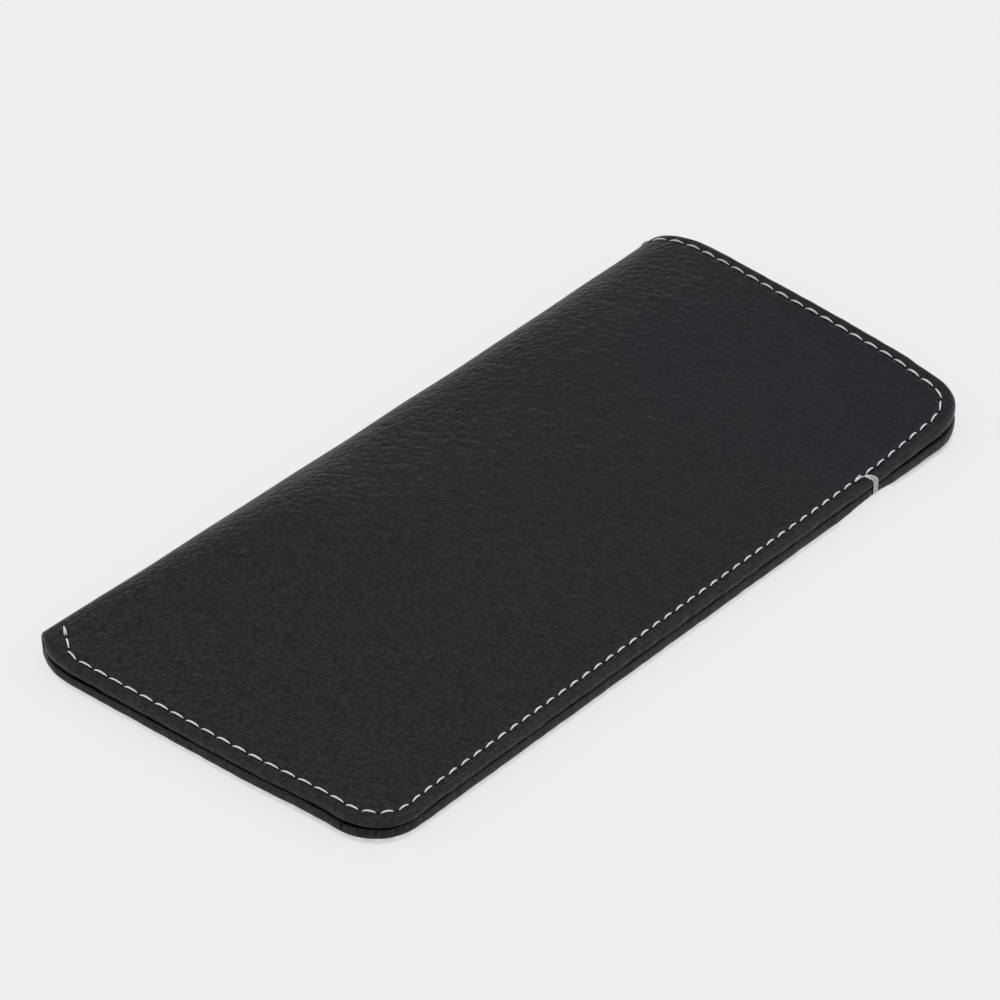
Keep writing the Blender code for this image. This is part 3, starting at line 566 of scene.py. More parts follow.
class Shell:
    """Closed thin shell of one panel: rings along its sewn or turned edge, triangles between."""

    # Least distance of the inner points from the rim, in spacings
    CLEARANCE = 0.62
    # Told to the tessellation: which triangles to give, and how near two points are one
    INSIDE_ONLY, MERGED = 1, 1e-9

    def __init__(self, sleeve, side, point, inward):
        self.sleeve = sleeve
        self.side = side
        self.point = point
        self.inward = inward
        self.patterns = []
        self.depths = []
        self.faces = []
        self.count = 0

    def add_points(self, pattern, depth):
        first = self.count
        self.patterns.append(pattern)
        self.depths.append(np.broadcast_to(depth, len(pattern)).astype(float))
        self.count += len(pattern)
        return first

    def add_rings(self, rings):
        """Rings of (inset, depth), from inside the outer face over the edge to the inner face."""
        stations = len(self.point)
        for inset, depth in rings:
            inset = np.broadcast_to(inset, stations)
            self.add_points(self.point + self.inward * inset[:, None], depth)
        first = np.arange(stations - 1)
        for ring in range(len(rings) - 1):
            a = ring * stations + first
            b = a + stations
            self.faces += np.stack((a, b, b + 1, a + 1), 1).tolist()

    def fill(self, ring, depth, spacing, outer):
        """Triangles inside a ring, down to the line where the two panels meet."""
        stations = len(self.point)
        border = np.arange(stations) + ring * stations
        loop = self.patterns[ring]
        count = round(abs(loop[0][0] - loop[-1][0]) / spacing)
        line = np.linspace(loop[-1], loop[0], count + 1)[1:-1]
        rim = np.concatenate((loop, line))
        tree = KDTree(len(rim))
        for index, (x, s) in enumerate(rim):
            tree.insert((x, s, 0.0), index)
        tree.balance()
        inner = lattice(rim.min(0), rim.max(0), spacing)
        apart = np.array([tree.find((x, s, 0.0))[2] for x, s in inner])
        near = np.concatenate((line, inner[apart > self.CLEARANCE * spacing]))
        edges = [(k, (k + 1) % len(rim)) for k in range(len(rim))]
        corners = np.concatenate((loop, near))
        spots, _, faces, sources, *_ = tessellate([Vector(p) for p in corners.tolist()], edges, [],
                                                  self.INSIDE_ONLY, self.MERGED)
        triangles = np.array([[sources[v][0] for v in face] for face in faces])
        used = np.unique(triangles)
        added = used[used >= stations]
        points = corners[added]
        first = self.add_points(points, depth(points) if callable(depth) else depth)
        index = np.zeros(len(corners), int)
        index[:stations] = border
        index[added] = np.arange(len(added)) + first
        triangles = index[triangles]
        self.faces += (triangles[:, ::-1] if outer else triangles).tolist()

    def close(self):
        """One flat face over the open side, where the two panels meet."""
        used = {}
        for face in self.faces:
            for here, there in zip(face, face[1:] + face[:1]):
                used[(here, there)] = used.get((here, there), 0) + 1
        following = {there: here for here, there in used if (there, here) not in used}
        start = next(iter(following))
        loop = [start]
        while following[loop[-1]] != start:
            loop.append(following[loop[-1]])
        if len(loop) != len(following):
            raise RuntimeError("the shell is open at more than one place")
        self.faces.append(loop)

    def mesh(self, name):
        pattern = np.concatenate(self.patterns)
        depth = np.concatenate(self.depths)
        spots = self.sleeve.layer(self.side, pattern[:, 0], pattern[:, 1], depth)
        mesh = bpy.data.meshes.new(name)
        mesh.from_pydata(spots.tolist(), [], self.faces)
        smooth_faces = np.ones(len(self.faces), bool)
        smooth_faces[-1] = False
        mesh.polygons.foreach_set("use_smooth", smooth_faces)
        return mesh, pattern


def add_map(mesh, name, values):
    """A UV map from one pair of numbers for each point."""
    corner = np.empty(len(mesh.loops), int)
    mesh.loops.foreach_get("vertex_index", corner)
    layer = mesh.uv_layers.new(name=name)
    layer.data.foreach_set("uv", values[corner].astype(np.float32).ravel())


def add_numbers(mesh, name, kind, field, values):
    layer = mesh.attributes.new(name, kind, "POINT")
    layer.data.foreach_set(field, np.asarray(values, np.float32).ravel())


# Shader and geometry nodes

class Wire:
    """A node's output. Sums, products and powers of wires add Math nodes to their tree."""

    def __init__(self, graph, socket):
        self.graph = graph
        self.socket = socket

    def math(self, operation, *values):
        return self.graph.add("ShaderNodeMath", {"operation": operation}, dict(enumerate(values)))

    def out(self, name):
        return Wire(self.graph, self.socket.node.outputs[name])

    def __add__(self, other):
        return self.math("ADD", self, other)

    def __sub__(self, other):
        return self.math("SUBTRACT", self, other)

    def __rsub__(self, other):
        return self.math("SUBTRACT", other, self)

    def __mul__(self, other):
        return self.math("MULTIPLY", self, other)

    def __truediv__(self, other):
        return self.math("DIVIDE", self, other)

    def __pow__(self, other):
        return self.math("POWER", self, other)

    __radd__ = __add__
    __rmul__ = __mul__


MIX_FACTOR, MIX_FIRST, MIX_SECOND, MIX_COLOUR = 0, 6, 7, 2


class Graph:
    """A node tree, and the one way to add a node to it."""

    def __init__(self, tree):
        self.tree = tree

    def add(self, kind, settings=(), inputs=(), output=0):
        node = self.tree.nodes.new(kind)
        for name, value in dict(settings).items():
            if name == "stops":
                self.set_stops(node.color_ramp.elements, value)
            else:
                setattr(node, name, value)
        for name, value in dict(inputs).items():
            if isinstance(value, Wire):
                self.tree.links.new(value.socket, node.inputs[name])
            else:
                node.inputs[name].default_value = value
        return Wire(self, node.outputs[output]) if node.outputs else None

    def set_stops(self, elements, stops):
        while len(elements) < len(stops):
            elements.new(1.0)
        for element, (place, shade) in zip(elements, stops):
            element.position = place
            element.color = (shade, shade, shade, 1.0)

    def attribute(self, name):
        return self.add("ShaderNodeAttribute", {"attribute_name": name}, {}, "Fac")

    def pattern(self):
        return self.add("ShaderNodeUVMap", {"uv_map": "pattern"})

    def place(self):
        return self.add("ShaderNodeTexCoord", {}, {}, "Object")

    def split(self, vector):
        return self.add("ShaderNodeSeparateXYZ", {}, {"Vector": vector})

    def noise(self, place, scale, detail, output=0):
        return self.add("ShaderNodeTexNoise", {"noise_dimensions": "2D"},
                        {"Vector": place, "Scale": scale, "Detail": detail}, output)

    def remap(self, value, span, start, end, curve="SMOOTHSTEP"):
        """The value's way over a span, as a number from start to end."""
        inputs = dict(enumerate((value, *span, start, end)))
        return self.add("ShaderNodeMapRange", {"interpolation_type": curve}, inputs)

    def mix(self, factor, first, second):
        inputs = {MIX_FACTOR: factor, MIX_FIRST: opaque(first), MIX_SECOND: opaque(second)}
        return self.add("ShaderNodeMix", {"data_type": "RGBA"}, inputs, MIX_COLOUR)

    def blend(self, factor, first, second):
        return self.add("ShaderNodeMixShader", {}, dict(enumerate((factor, first, second))))

    def ramp(self, value, *stops):
        return self.add("ShaderNodeValToRGB", {"stops": stops}, {"Fac": value})


def opaque(shade):
    return shade if isinstance(shade, Wire) else (*shade, 1.0)


def new_material(name, base, roughness, height=None, depth=0.0, **plain):
    """A Principled material. The base colour, roughness and bump height come from functions of
    its graph or are plain values."""
    material = bpy.data.materials.new(name)
    material.use_nodes = True
    material.node_tree.nodes.clear()
    graph = Graph(material.node_tree)
    inputs = {"Base Color": opaque(base(graph) if callable(base) else base),
              "Roughness": roughness(graph) if callable(roughness) else roughness}
    inputs.update({name.replace("_", " "): value for name, value in plain.items()})
    if height:
        bump_inputs = {"Height": height(graph), "Distance": depth, "Strength": 1.0}
        inputs["Normal"] = graph.add("ShaderNodeBump", {}, bump_inputs)
    shader = graph.add("ShaderNodeBsdfPrincipled", {}, inputs)
    graph.add("ShaderNodeOutputMaterial", {}, {"Surface": shader})
    return material


WANDER_SCALE, WANDER = 0.9, (0.7, 0.7, 0.0)
SOFTNESS, DISORDER = 0.22, 0.85


def grain(graph, look):
    """Distances from a pebble's middle and from its rim, in pebbles, and the sized pattern that
    they are measured in."""
    turned = graph.add("ShaderNodeMapping", {"vector_type": "TEXTURE"},
                       {"Vector": graph.pattern(), "Rotation": (0.0, 0.0, look.heading)})
    scale = (1 / (look.pebble * look.stretch), 1 / look.pebble, 1.0)
    sized = graph.add("ShaderNodeVectorMath", {"operation": "MULTIPLY"}, {0: turned, 1: scale})
    wander = graph.noise(sized, WANDER_SCALE, 1.0, "Color")
    away = graph.add("ShaderNodeVectorMath", {"operation": "MULTIPLY_ADD"},
                     {0: wander, 1: WANDER, 2: sized})
    middle, rim = (
        graph.add("ShaderNodeTexVoronoi", {"voronoi_dimensions": "2D", "feature": feature},
                  {"Vector": away, "Scale": 1.0, "Randomness": DISORDER, **more}, "Distance")
        for feature, more in (("SMOOTH_F1", {"Smoothness": SOFTNESS}), ("DISTANCE_TO_EDGE", {})))
    return middle, rim, sized


# Where the grain calms down: along the sleeve to the mouth, and across it from the fold to the flat
CALM_ALONG, CALM_ACROSS = (0.0, 0.07), (0.030, 0.055)
CALM_AT_MOUTH = 0.62
DOME_WIDTH = 1.25
LEAST_DOME, DOME_PATCHES = 0.35, 0.5
WRINKLE, WRINKLE_SCALE = 0.32, 2.4
DOMES_PRESSED, WRINKLES_PRESSED = 0.35, 0.3
BROKEN_SCALE, BROKEN_GAIN, BROKEN_LESS = 0.9, 2.6, 0.6
# Painted shade in the creases: its strength near a pebble's rim, falling to none further in
CREASE_SHADE_RIM = (0.02, 0.9), (0.26, 0.0)
SPECK_SCALE, SPECK_DETAIL = 2.6, 1.5
SPECK_TONES = (0.38, 0.75), (0.58, 0.0)
COOL_ALONG, COOL_FADING = (-0.07, 0.05), 0.35
# Colour of the painted shade in needle holes, in the cracks of the gathered edge and in the gap between
# the panels
HOLLOW_SHADE = (0.0006, 0.0006, 0.0007)
SHINE_PATCHES, SHINE_SPREAD, SHINE_AT_RIM = 0.4, 0.2, 0.10


def make_leather(look):
    def height(graph):
        middle, rim, sized = grain(graph, look)
        domes = 1 - (middle * DOME_WIDTH) ** 2.0
        pressed = graph.attribute("pressed")
        pattern = graph.split(graph.pattern())
        calm = graph.remap(pattern.out("X"), CALM_ALONG, look.calm, look.calm * CALM_AT_MOUTH)
        flat = graph.remap(pattern.out("Y"), CALM_ACROSS, 1.0, calm)
        strength = (LEAST_DOME + graph.noise(sized, DOME_PATCHES, 1.0)) * (1 - pressed * DOMES_PRESSED)
        wrinkles = graph.noise(sized, WRINKLE_SCALE, 1.0) * WRINKLE * (1 - pressed * WRINKLES_PRESSED)
        return domes * (strength * flat) + wrinkles

    def base(graph):
        middle, rim, sized = grain(graph, look)
        # Painted shade in the creases between pebbles, in broken patches; it and the specks thin out
        # towards the mouth
        broken = graph.noise(sized, BROKEN_SCALE, 1.0) * BROKEN_GAIN - BROKEN_LESS
        crease = graph.ramp(rim, *CREASE_SHADE_RIM) * broken
        cool = graph.remap(graph.split(graph.place()), COOL_ALONG, 0.0, 1.0, "LINEAR")
        speck = graph.ramp(graph.noise(sized, SPECK_SCALE, SPECK_DETAIL), *SPECK_TONES)
        fading = 1 - cool * COOL_FADING
        tone = graph.mix(cool, look.colour, look.cool)
        crease_shaded = graph.mix(crease * fading, tone, look.crease)
        worn = graph.mix(speck * fading, crease_shaded, look.crease)
        # Painted shade in needle holes, cracks and the gap between the panels
        return graph.mix(graph.attribute("hollow"), worn, HOLLOW_SHADE)

    def roughness(graph):
        middle, rim, sized = grain(graph, look)
        patches = (graph.noise(sized, SHINE_PATCHES, 2.0) - 0.5) * SHINE_SPREAD
        return look.roughness + patches + middle * SHINE_AT_RIM

    return new_material("pebbled_leather", base, roughness, height, look.depth,
                        Specular_IOR_Level=look.gloss)


def fibres(scale, detail):
    """Fine noise, for the fibres of thread or board."""
    def pattern(graph):
        return graph.add("ShaderNodeTexNoise", {},
                         {"Vector": graph.place(), "Scale": scale, "Detail": detail})
    return pattern


WEAVE_SCALE = 700.0


def weave(graph):
    checks = [graph.add("ShaderNodeTexWave", {"bands_direction": axis},
                        {"Vector": graph.pattern(), "Scale": WEAVE_SCALE}) for axis in ("X", "Y")]
    return checks[0] * checks[1]


def between(pattern, shade, darkest):
    """A shade that is darker where its pattern is low."""
    def base(graph):
        return graph.mix(pattern(graph), tuple(darkest * value for value in shade), shade)
    return base


def make_thread(name, shade):
    fuzz = fibres(scale=5200.0, detail=2.0)
    dyed = between(fuzz, shade, darkest=0.72)

    def base(graph):
        return graph.mix(graph.attribute("tone"), (0.0, 0.0, 0.0), dyed(graph))

    return new_material(name, base, roughness=0.55, height=fuzz, depth=0.00003)


def make_cloth(name, shade):
    """Plain weave, seen only inside the mouth."""
    woven = between(weave, shade, darkest=0.6)
    return new_material(name, woven, roughness=0.85, height=weave, depth=0.00006)


def make_board(name, shade):
    pulp = fibres(scale=900.0, detail=4.0)
    pressed = between(pulp, shade, darkest=0.7)
    return new_material(name, pressed, roughness=0.9, height=pulp, depth=0.00005)


# Parts of the pouch

# Insets of the outer face's rings from the row of holes, then angles of the rings over the edge
ROW_RINGS = (0.0059, 0.0045, 0.0034, 0.0024, 0.0015, 0.0010, 0.0007, 0.00045, 0.00028, 0.00013, 0.0,
             -0.00013, -0.00028, -0.00045, -0.0007)
BEAD_RINGS = np.radians(np.arange(0, 181, 15))
FIRST_BEAD = len(ROW_RINGS)
# The leather is drawn in near holes, and swells between them on both sides of the row
SEWN_REACH, SEWN_EASE = 0.0030, 0.0010
PILLOW_ASIDE, PILLOW_WIDTH, HOLE_CLEARANCE = 0.0008, 0.0006, 0.0009
NIP_EASE = 0.0024
# Rate along the edge, phase and height of the waves of the turned edge
WAVES = ((331, 0.0, 1.0), (823, 1.3, 1.0), (1490, 0.4, 0.7))
WAVE_HEIGHT, WAVE_EASE = 0.00004, 0.006


def edge_rings(scene, sleeve, stations, side, pick):
    """Rings over the turned edge: (inset, depth) and unrolled inset, outer face to inner face."""
    layers, stitch, tack = scene.pouch_layers, scene.pouch_stitch, scene.pouch_tack
    along, from_hole, row = stations.length[pick], stations.from_hole[pick], stations.inset[pick]
    plain = np.zeros(len(row))
    thick = sleeve.edge(stations.point[pick, 1])
    thick = thick - layers.corner_gap * bump(along - stations.lower_corner, layers.corner_gap_span)
    tied = stations.upper_tack if side > 0 else stations.lower_tack
    nip = tack.nip * bump(along - tied, tack.nip_span) * (tack.upper_nip if side > 0 else 1.0)
    sewn = smooth((SEWN_REACH - from_hole) / SEWN_EASE)
    rings = []
    for offset in ROW_RINGS:
        groove = stitch.pinch * bump(offset, stitch.pinch_width)
        hole = stitch.hole * bump(np.hypot(offset, from_hole), stitch.hole_radius)
        swell = (stitch.pillow * bump(abs(offset) - PILLOW_ASIDE, PILLOW_WIDTH)
                 * (1 - bump(from_hole, HOLE_CLEARANCE)))
        drawn_in = nip * smooth((NIP_EASE - offset) / NIP_EASE)
        rings.append((row + offset, sewn * (groove + hole - swell) + drawn_in))
    unrolled = [inset for inset, depth in rings]
    wave = sum(height * np.sin(along * rate + phase) for rate, phase, height in WAVES) * WAVE_HEIGHT
    wave = wave * smooth(np.abs(stations.point[pick, 1] + sleeve.shape.split) / WAVE_EASE)
    half = thick / 2
    arc = math.pi * (layers.bead + np.mean(half)) / 2
    for angle in BEAD_RINGS:
        power = layers.bead_power if angle < math.pi / 2 else layers.inner_power
        out = abs(math.sin(angle)) ** power
        down = math.copysign(abs(math.cos(angle)) ** power, math.cos(angle))
        depth = plain + half * (1 - down) + nip * max(down, 0.0)
        rings.append((layers.bead * (1 - out) + wave * out, depth))
        unrolled.append(plain + layers.bead - arc * angle / math.pi)
    back = 2 * layers.bead - arc
    for inset, depth in ((layers.hem_edge, thick),
                         (layers.hem_edge + layers.hem_step, layers.hem_under),
                         (layers.hem_width, layers.hem_under),
                         (layers.hem_width + layers.hem_step, layers.leather)):
        rings.append((plain + inset, plain + depth))
        unrolled.append(plain + back - inset)
    return rings, unrolled


# Where round the corner each crack is, its depth and width, and how far over the edge it starts
CRACKS = ((0.94, 0.00075, 0.00017, 0.455), (0.84, 0.00030, 0.00010, 0.51),
          (0.73, 0.00040, 0.00012, 0.50), (0.60, 0.00026, 0.00010, 0.53),
          (0.52, 0.00046, 0.00013, 0.49), (0.41, 0.00030, 0.00010, 0.52),
          (0.28, 0.00042, 0.00013, 0.50), (0.12, 0.00026, 0.00011, 0.52))
# Over what a crack opens across the edge, and the depth at which its painted shade is full
CRACK_EASE, CRACK_SHADE = 0.1, 0.00012


def pleat(outline, along, rings):
    """Cracks where the turned edge of the lower panel is gathered round its closed corner, and the
    painted shade that each point of the rings gets in them."""
    dark = np.zeros((len(rings), len(along)))
    for share, depth, width, start in CRACKS:
        crack = bump(along - outline.length_on(outline.CLOSED_LOWER, share), width) * depth
        for step, ring in enumerate(range(FIRST_BEAD, FIRST_BEAD + len(BEAD_RINGS))):
            sunk = crack * smooth((step / (len(BEAD_RINGS) - 1) - start) / CRACK_EASE)
            rings[ring] = (rings[ring][0] + sunk, rings[ring][1])
            dark[ring] = np.maximum(dark[ring], smooth(sunk / CRACK_SHADE))
    return dark


# Height of the bulge near the closed end, and its middle and width along x and s
BULGE, BULGE_X, BULGE_S = 0.0007, (-0.030, 0.017), (0.025, 0.015)
# Rates along x and s, phase and height of the upper panel's slow swells
SWELLS = ((118, 61, 0.7, 1.0), (71, -139, 2.1, 1.0), (233, 187, 4.0, 0.6))
SWELL_HEIGHT = 0.00007
# The strip beside the edge that stays even, and over what the swells begin
EVEN_STRIP, EVEN_EASE, FOLD_EASE = 0.0080, 0.010, 0.006


def relief(sleeve):
    """Slow rise and fall of the upper panel's outer face between its edges."""
    def depth(points):
        x, s = points[:, 0], points[:, 1]
        edge = np.minimum(x + sleeve.half_length - sleeve.closed_back(s),
                          sleeve.half_length - sleeve.mouth_back(s) - x)
        edge = np.minimum(edge, sleeve.half_pattern - np.abs(s))
        inside = smooth((edge - EVEN_STRIP) / EVEN_EASE) * smooth(1 + s / FOLD_EASE)
        bulge = BULGE * bump(x - BULGE_X[0], BULGE_X[1]) * bump(s - BULGE_S[0], BULGE_S[1])
        swell = sum(height * np.sin(x * rate_x + s * rate_s + phase)
                    for rate_x, rate_s, phase, height in SWELLS) * SWELL_HEIGHT
        return -(bulge + swell) * inside
    return depth


# Size of the triangles on the panel's outer and inner face
OUTER_SPACING, INNER_SPACING = 0.0011, 0.0026
# Depth at which painted shade starts in a needle hole, over what, and how dark it gets
HOLE_SHADE = (0.00014, 0.00030, 0.95)
# Rings between which the grain is pressed flat, and those painted with the other panel's shade
PRESSED_RINGS = (6, FIRST_BEAD + 2)
SHADED_RINGS, SHADED = (FIRST_BEAD + 7, FIRST_BEAD + 10, FIRST_BEAD + 12, FIRST_BEAD + 13), 0.5


def build_panel(scene, sleeve, outline, stations, side, material):
    pick = stations.on(side)
    count = pick.sum()
    shell = Shell(sleeve, side, stations.point[pick], stations.inward[pick])
    rings, unrolled = edge_rings(scene, sleeve, stations, side, pick)
    dark = pleat(outline, stations.length[pick], rings) if side < 0 else np.zeros((len(rings), count))
    shell.add_rings(rings)
    leather = scene.pouch_layers.leather
    shell.fill(0, relief(sleeve) if side > 0 else 0.0, OUTER_SPACING, True)
    shell.fill(len(rings) - 1, leather, INNER_SPACING, False)
    shell.close()
    name = "cover_top" if side > 0 else "cover_bottom"
    mesh, pattern = shell.mesh(name)
    for ring, inset in enumerate(unrolled):
        pattern[ring * count:(ring + 1) * count] = shell.point + shell.inward * inset[:, None]
    add_map(mesh, "pattern", pattern)

    depth = np.array([depth for inset, depth in rings[:FIRST_BEAD]])
    dark[:FIRST_BEAD] = smooth((depth - HOLE_SHADE[0]) / HOLE_SHADE[1]) * HOLE_SHADE[2]
    every = np.arange(len(rings))
    shaded = np.interp(every, SHADED_RINGS, (0.0, SHADED, SHADED, 0.0))
    pressed = np.interp(every, PRESSED_RINGS, (0.0, 1.0))
    # Painted shade in holes, cracks and the gap, and where the grain is pressed flat
    for title, levels in (("hollow", np.maximum(dark, shaded[:, None]).ravel()),
                          ("pressed", np.repeat(pressed, count))):
        rest = np.zeros(len(pattern) - len(levels))
        add_numbers(mesh, title, "FLOAT", "value", np.concatenate((levels, rest)))
    piece = new_object(name, mesh, material)
    return piece


# Every how many of the leather's stations the lining has one, its flat rim and its triangles
LINING_EVERY, LINING_RIM, LINING_SPACING = 3, 0.0015, 0.003


def build_lining(scene, sleeve, stations, side, material):
    layers = scene.pouch_layers
    chosen = np.flatnonzero(stations.on(side))
    keep = np.unique(np.concatenate((chosen[::LINING_EVERY], chosen[-1:])))
    shell = Shell(sleeve, side, stations.point[keep], stations.inward[keep])
    inset, outer = layers.lining_inset, layers.lining_outer
    inner = outer + layers.lining
    rings = [(inset + LINING_RIM, outer), (inset, outer), (inset, inner),
             (inset + LINING_RIM, inner)]
    shell.add_rings(rings)
    shell.fill(0, outer, LINING_SPACING, True)
    shell.fill(len(rings) - 1, inner, LINING_SPACING, False)
    shell.close()
    name = "lining_top" if side > 0 else "lining_bottom"
    mesh, pattern = shell.mesh(name)
    add_map(mesh, "pattern", pattern)
    piece = new_object(name, mesh, material)
    return piece


def follow(piece, sleeve, side):
    """The upper panel's placing is baked into its mesh; the rest keeps still on the sleeve."""
    if side > 0:
        start, end = sleeve.bend_line()
        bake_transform(piece)
    else:
        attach(piece, "sleeve")


# Thread

STITCH_STEPS, STITCH_SIDES, STRANDS = 8, 9, 3
ARCH_POWER, TAPER_POWER = 0.75, 0.7
# Thickness at the ends, relief of the strands and height of the thread's section, as shares
TIP, STRAND_RELIEF, FLATTENED = 0.30, 0.16, 0.85


def stitch_mesh(stitch):
    """One stitch along X, a unit long: a twisted thread, arched, diving in at both ends."""
    sides = STITCH_SIDES
    along = -0.5 * np.cos(np.linspace(0, math.pi, STITCH_STEPS + 1))
    arch = 1 - (2 * along) ** 2
    height = stitch.sink + stitch.rise - stitch.thread * FLATTENED
    lift = -stitch.sink + height * arch ** ARCH_POWER
    radius = stitch.thread * (TIP + (1 - TIP) * arch ** TAPER_POWER)
    turn = 2 * math.pi * stitch.twist * along
    points, faces = [], []
    for k in range(STITCH_STEPS + 1):
        for side in range(sides):
            angle = 2 * math.pi * side / sides
            around = radius[k] * (1 + STRAND_RELIEF * math.cos(STRANDS * (angle - turn[k])))
            points.append((along[k], around * math.cos(angle),
                           lift[k] + FLATTENED * around * math.sin(angle)))
    for k in range(STITCH_STEPS):
        for side in range(sides):
            a = k * sides + side
            b = k * sides + (side + 1) % sides
            faces.append((a, b, b + sides, a + sides))
    faces.append(tuple(reversed(range(sides))))
    faces.append(tuple(STITCH_STEPS * sides + side for side in range(sides)))
    mesh = bpy.data.meshes.new("stitch")
    mesh.from_pydata(points, [], faces)
    return mesh


def new_tree(name, sockets):
    tree = bpy.data.node_groups.new(name, "GeometryNodeTree")
    for title, kind in sockets:
        tree.interface.new_socket(name=title, in_out="INPUT", socket_type="NodeSocket" + kind)
    tree.interface.new_socket(name="Geometry", in_out="OUTPUT", socket_type="NodeSocketGeometry")
    graph = Graph(tree)
    return graph, graph.add("NodeGroupInput")


def named(graph, name, kind="FLOAT"):
    return graph.add("GeometryNodeInputNamedAttribute", {"data_type": kind}, {"Name": name},
                     "Attribute")


def finish_tree(graph, geometry, material):
    shaded = graph.add("GeometryNodeSetShadeSmooth", {}, {"Geometry": geometry})
    done = graph.add("GeometryNodeSetMaterial", {}, {"Geometry": shaded, "Material": material})
    graph.add("NodeGroupOutput", {}, {"Geometry": done})
    return graph.tree


RANDOM_LEAST, RANDOM_MOST, RANDOM_FLOAT = 2, 3, 1


def stitch_tree():
    """A stitch on every point, along its heading, its back to the leather."""
    graph, given = new_tree("sewn_stitches", [
        ("Geometry", "Geometry"), ("Stitch", "Object"), ("Thickness spread", "Float"),
        ("Seed", "Int"), ("Material", "Material")])
    spread = given.out("Thickness spread")
    facing = graph.add("FunctionNodeAlignRotationToVector", {"axis": "X"},
                       {"Vector": named(graph, "heading", "FLOAT_VECTOR")})
    upright = graph.add("FunctionNodeAlignRotationToVector", {"axis": "Z", "pivot_axis": "X"},
                        {"Rotation": facing, "Vector": named(graph, "upward", "FLOAT_VECTOR")})
    chance = graph.add("FunctionNodeRandomValue", {"data_type": "FLOAT"},
                       {RANDOM_LEAST: 1 - spread, RANDOM_MOST: 1 + spread,
                        "Seed": given.out("Seed")}, RANDOM_FLOAT)
    fat = chance * named(graph, "fat")
    size = graph.add("ShaderNodeCombineXYZ", {},
                     {"X": named(graph, "span"), "Y": fat, "Z": fat * named(graph, "tall")})
    shape = graph.add("GeometryNodeObjectInfo", {}, {"Object": given.out("Stitch")}, "Geometry")
    rows = graph.add("GeometryNodeInstanceOnPoints", {},
                     {"Points": given.out("Geometry"), "Instance": shape, "Rotation": upright,
                      "Scale": size})
    solid = graph.add("GeometryNodeRealizeInstances", {}, {"Geometry": rows})
    return finish_tree(graph, solid, given.out("Material"))


def strand_tree():
    """A round strand along every chain of edges."""
    graph, given = new_tree("strands", [
        ("Geometry", "Geometry"), ("Radius", "Float"), ("Sides", "Int"), ("Material", "Material")])
    paths = graph.add("GeometryNodeMeshToCurve", {}, {"Mesh": given})
    ring = graph.add("GeometryNodeCurvePrimitiveCircle", {},
                     {"Resolution": given.out("Sides"), "Radius": given.out("Radius")})
    tubes = graph.add("GeometryNodeCurveToMesh", {},
                      {"Curve": paths, "Profile Curve": ring, "Fill Caps": True})
    solid = graph.add("GeometryNodeRealizeInstances", {}, {"Geometry": tubes})
    return finish_tree(graph, solid, given.out("Material"))


def grow(name, mesh, tree, values):
    """The plain mesh that a node tree makes of a mesh of points or edges."""
    piece = bpy.data.objects.new(name, mesh)
    bpy.context.scene.collection.objects.link(piece)
    modifier = piece.modifiers.new("Make", "NODES")
    modifier.node_group = tree
    for item in tree.interface.items_tree:
        if item.in_out == "INPUT" and item.name in values:
            modifier[item.identifier] = values[item.name]
    graph = bpy.context.evaluated_depsgraph_get()
    grown = bpy.data.meshes.new_from_object(piece.evaluated_get(graph))
    piece.modifiers.clear()
    piece.data = grown
    grown.name = name
    return piece


JUST_BELOW = 0.0004


def row_points(sleeve, outline, holes, side, lean, depth=0.0):
    """Middles, headings, upward directions, spans and sizes of the stitches between holes, on the
    outer face or, at a depth, on the inner one."""
    start, stop = holes[:-1], holes[1:]
    ends = []
    for place in (start, stop, (start + stop) / 2):
        point, inward, inset = outline.at(place)
        ends.append(point + inward * inset[:, None])
    spots = [sleeve.layer(side, end[:, 0], end[:, 1], depth) for end in ends]
    deeper = sleeve.layer(side, ends[2][:, 0], ends[2][:, 1], depth + JUST_BELOW)
    heading = spots[1] - spots[0]
    span = np.linalg.norm(heading, axis=1)
    upward = deeper - spots[2] if depth else spots[2] - deeper
    upward /= np.linalg.norm(upward, axis=1)[:, None]
    heading /= span[:, None]
    aside = np.cross(upward, heading)
    heading = heading * math.cos(lean) + aside * math.sin(lean)
    return spots[2], heading, upward, span, np.ones(len(span))


CROSSED, THINNED = 0.10, 0.78
# The first and the last stitch of the upper row are double, with their strands this far aside
DOUBLE_ENDS = ((slice(0, 1), 0.00008), (slice(-1, None), 0.00019))


def doubled(row, width):
    """Two thinner stitches in place of each of a row's own, slightly crossed."""
    spot, heading, upward, span, size = row
    aside = np.cross(upward, heading)
    made = []
    for sign in (-1, 1):
        turned = heading + aside * CROSSED * sign
        turned /= np.linalg.norm(turned, axis=1)[:, None]
        made.append((spot + aside * width * sign, turned, upward, span, size * THINNED))
    return made


def sewn_rows(scene, sleeve, outline, stations, side):
    """The points of all rows of one panel, outside and, round the mouth, inside as well."""
    lean = scene.pouch_stitch.lean
    found = []
    for holes in (stations.under, stations.upper, stations.mouth, stations.lower):
        middles = (holes[:-1] + holes[1:]) / 2
        mine = np.flatnonzero(middles <= stations.turn if side > 0 else middles > stations.turn)
        if not len(mine):
            continue
        run = holes[mine[0]:mine[-1] + 2]
        rows = [row_points(sleeve, outline, run, side, lean)]
        if holes is stations.mouth:
            inner = float(sleeve.edge(side * sleeve.half_pattern))
            rows.append(row_points(sleeve, outline, run, side, lean, inner))
        if holes is stations.upper:
            doubles = [double for pick, width in DOUBLE_ENDS
                       for double in doubled([part[pick] for part in rows[0]], width)]
            rows = [[part[1:-1] for part in rows[0]]]
        found += rows
    if side > 0:
        found += doubles
    return [np.concatenate(part) for part in zip(*found)]


MOUTH_FATTER, THICKNESS_SPREAD = 0.12, 0.08
# Painted shade on the mouth's thread: where along y it starts to deepen towards the fold, over what,
# and its least share
MOUTH_SHADE_FROM, MOUTH_SHADE_SPAN, MOUTH_SHADE_LEAST = -0.035, 0.070, 0.5
TOP_SEED, BOTTOM_SEED = 6, 4


